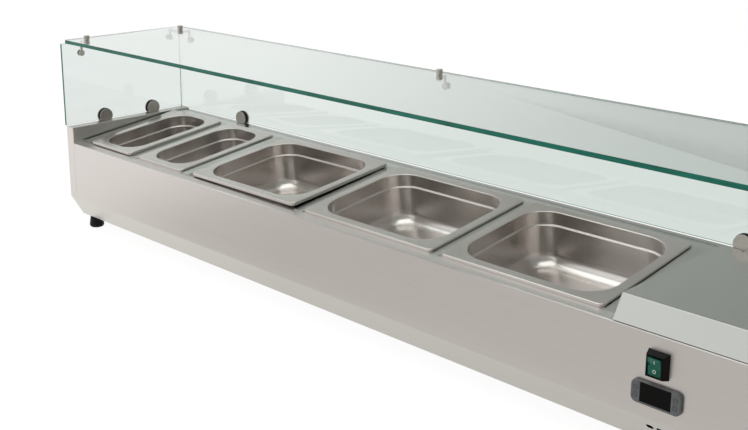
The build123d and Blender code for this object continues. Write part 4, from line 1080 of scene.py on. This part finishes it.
class TOPPING_OT_studio(bpy.types.Operator):
    """White floor, a soft room that the steel and glass mirror, and a lamp overhead"""

    bl_idname = "topping.studio"
    bl_label = "Studio"

    def execute(self, context):
        sizes = context.scene.topping_studio
        self.make_floor(sizes)
        self.light_room(context, sizes.room_level)
        self.add_lamp("overhead_lamp", sizes)
        context.scene.view_settings.view_transform = "Standard"
        return {"FINISHED"}

    def make_floor(self, sizes):
        """Studio paper: white to the camera, and in steel and glass the painted light and shade of a lit
        sweep, with a painted shadow under the body.
        """
        shape = bmesh.new()
        bmesh.ops.create_grid(shape, x_segments=1, y_segments=1, size=sizes.floor_reach)
        mesh = bpy.data.meshes.new("studio_floor")
        shape.to_mesh(mesh)
        shape.free()
        material, tree, shader = start_material(
            "matt_white_studio_paper", "#f4f4f3", metallic=0.0, roughness=0.9,
        )
        fibres = even_pattern(tree, detail=2.0, size=300 * MM)
        vary_colour(tree, shader, fibres, "#f2f2f1", "#f7f7f6")
        place = add_node(tree, "ShaderNodeTexCoord")
        parts = add_node(tree, "ShaderNodeSeparateXYZ", {}, {"Vector": place.outputs["Object"]})
        across = parts.outputs["X"]
        along = parts.outputs["Y"]
        # Painted light and shade of a lit sweep, darker in the row under the body where its shadow falls
        front = row_of_shades(tree, across, FRONT_SPAN, FRONT_SHADES)
        under = row_of_shades(tree, across, UNDER_SPAN, UNDER_BODY_PAINTED_SHADE)
        diagonal = add_node(tree, "ShaderNodeMath", {"operation": "ADD"}, {0: across, 1: along})
        behind = row_of_shades(tree, diagonal.outputs["Value"], BACK_SPAN, BACK_SHADES)
        near = give_way(tree, along, FRONT_TO_UNDER, front, under)
        mirrored = give_way(tree, along, UNDER_TO_BACK, near, behind)
        path = add_node(tree, "ShaderNodeLightPath")
        colour = white_to_camera(tree, path, mirrored)
        glow = add_node(tree, "ShaderNodeEmission", {"Strength": sizes.paper_glow}, {"Color": colour})
        direct = add_node(
            tree, "ShaderNodeMath", {"operation": "MAXIMUM"},
            {0: path.outputs["Is Camera Ray"], 1: path.outputs["Is Transmission Ray"]},
        )
        seen = add_node(
            tree, "ShaderNodeMath", {"operation": "MAXIMUM"},
            {0: direct.outputs["Value"], 1: path.outputs["Is Glossy Ray"]},
        )
        share = add_node(
            tree, "ShaderNodeMath", {"operation": "MULTIPLY", 1: sizes.glow_share},
            {0: seen.outputs["Value"]},
        )
        mix = add_node(
            tree, "ShaderNodeMixShader", {},
            {0: share.outputs["Value"], 1: shader.outputs["BSDF"], 2: glow.outputs["Emission"]},
        )
        tree.links.new(mix.outputs["Shader"], tree.nodes["Material Output"].inputs["Surface"])
        mesh.materials.append(material)
        floor = bpy.data.objects.new("studio_floor", mesh)
        bpy.context.scene.collection.objects.link(floor)

    def light_room(self, context, level):
        """Bright at the left and low down, dimmer overhead and behind, which gives the steel its greys."""
        world = bpy.data.worlds.new("studio_room")
        context.scene.world = world
        world.use_nodes = True
        tree = world.node_tree
        background = tree.nodes["Background"]
        background.inputs["Strength"].default_value = level
        place = add_node(tree, "ShaderNodeTexCoord")
        ray = add_node(
            tree, "ShaderNodeVectorMath", {"operation": "DOT_PRODUCT", 1: RAY_SHARES},
            {0: place.outputs["Generated"]},
        )
        room = row_of_shades(tree, ray.outputs["Value"], ROOM_SPAN, ROOM_SHADES)
        path = add_node(tree, "ShaderNodeLightPath")
        tree.links.new(white_to_camera(tree, path, room), background.inputs["Color"])

    def add_lamp(self, name, sizes):
        """A rectangular soft light that faces the display from above."""
        data = bpy.data.lights.new(name, "AREA")
        data.shape = "RECTANGLE"
        data.size, data.size_y = sizes.lamp_size
        data.energy = sizes.lamp_level
        lamp = bpy.data.objects.new(name, data)
        place = Vector(sizes.lamp_place)
        lamp.location = place
        lamp.rotation_euler = (Vector(sizes.lamp_target) - place).to_track_quat("-Z", "Y").to_euler()
        bpy.context.scene.collection.objects.link(lamp)


class TOPPING_OT_camera(bpy.types.Operator):
    """The camera, at the photograph's place and angle"""

    bl_idname = "topping.camera"
    bl_label = "Camera"

    def execute(self, context):
        view = context.scene.topping_camera
        bearing = math.radians(view.bearing)
        dip = math.radians(view.dip)
        roll = math.radians(view.roll)
        flat_share = math.cos(dip)
        ahead = Vector((-math.sin(bearing) * flat_share, math.cos(bearing) * flat_share, -math.sin(dip)))
        level = ahead.cross(Vector((0, 0, 1))).normalized()
        below = ahead.cross(level)
        right = math.cos(roll) * level + math.sin(roll) * below
        down = -math.sin(roll) * level + math.cos(roll) * below
        turn = Matrix((right, -down, -ahead)).transposed()
        data = bpy.data.cameras.new("photo_camera")
        data.sensor_width = view.sensor_width
        data.lens = view.focal_length
        data.shift_y = view.shift
        data.clip_end = view.farthest
        camera = bpy.data.objects.new("photo_camera", data)
        camera.matrix_world = Matrix.Translation(view.place) @ turn.to_4x4()
        context.scene.collection.objects.link(camera)
        context.scene.camera = camera
        return {"FINISHED"}


OPERATORS = (
    TOPPING_OT_camera,
    TOPPING_OT_studio,
    TOPPING_OT_sheets,
    TOPPING_OT_pans,
    TOPPING_OT_panes,
    TOPPING_OT_clamps,
    TOPPING_OT_switch,
    TOPPING_OT_thermostat,
    TOPPING_OT_feet,
    TOPPING_OT_machine,
)


class TOPPING_PT_sidebar(bpy.types.Panel):
    """Lists the pieces in the 3D view's sidebar"""

    bl_idname = "TOPPING_PT_sidebar"
    bl_label = "Topping display"
    bl_space_type = "VIEW_3D"
    bl_region_type = "UI"
    bl_category = "Topping display"

    def draw(self, context):
        scene = context.scene
        groups = (
            scene.topping_sizes, scene.topping_pans, scene.topping_colours, scene.topping_studio,
            scene.topping_camera,
        )
        for group in groups:
            for name in group.bl_rna.properties.keys():
                if name not in ("rna_type", "name"):
                    self.layout.prop(group, name)
        for operator in OPERATORS:
            self.layout.operator(operator.bl_idname)


CLASSES = (
    ToppingSizes, PanSizes, ToppingColours, StudioSizes, CameraSizes, *OPERATORS, TOPPING_PT_sidebar,
)


def register():
    for item in CLASSES:
        bpy.utils.register_class(item)
    bpy.types.Scene.topping_sizes = bpy.props.PointerProperty(type=ToppingSizes)
    bpy.types.Scene.topping_pans = bpy.props.PointerProperty(type=PanSizes)
    bpy.types.Scene.topping_colours = bpy.props.PointerProperty(type=ToppingColours)
    bpy.types.Scene.topping_studio = bpy.props.PointerProperty(type=StudioSizes)
    bpy.types.Scene.topping_camera = bpy.props.PointerProperty(type=CameraSizes)


def unregister():
    del bpy.types.Scene.topping_camera
    del bpy.types.Scene.topping_studio
    del bpy.types.Scene.topping_colours
    del bpy.types.Scene.topping_pans
    del bpy.types.Scene.topping_sizes
    for item in reversed(CLASSES):
        bpy.utils.unregister_class(item)


def main():
    """Registers the add-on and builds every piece."""
    register()
    for operator in OPERATORS:
        group, name = operator.bl_idname.split(".")
        getattr(getattr(bpy.ops, group), name)()


if __name__ == "__main__":
    main()
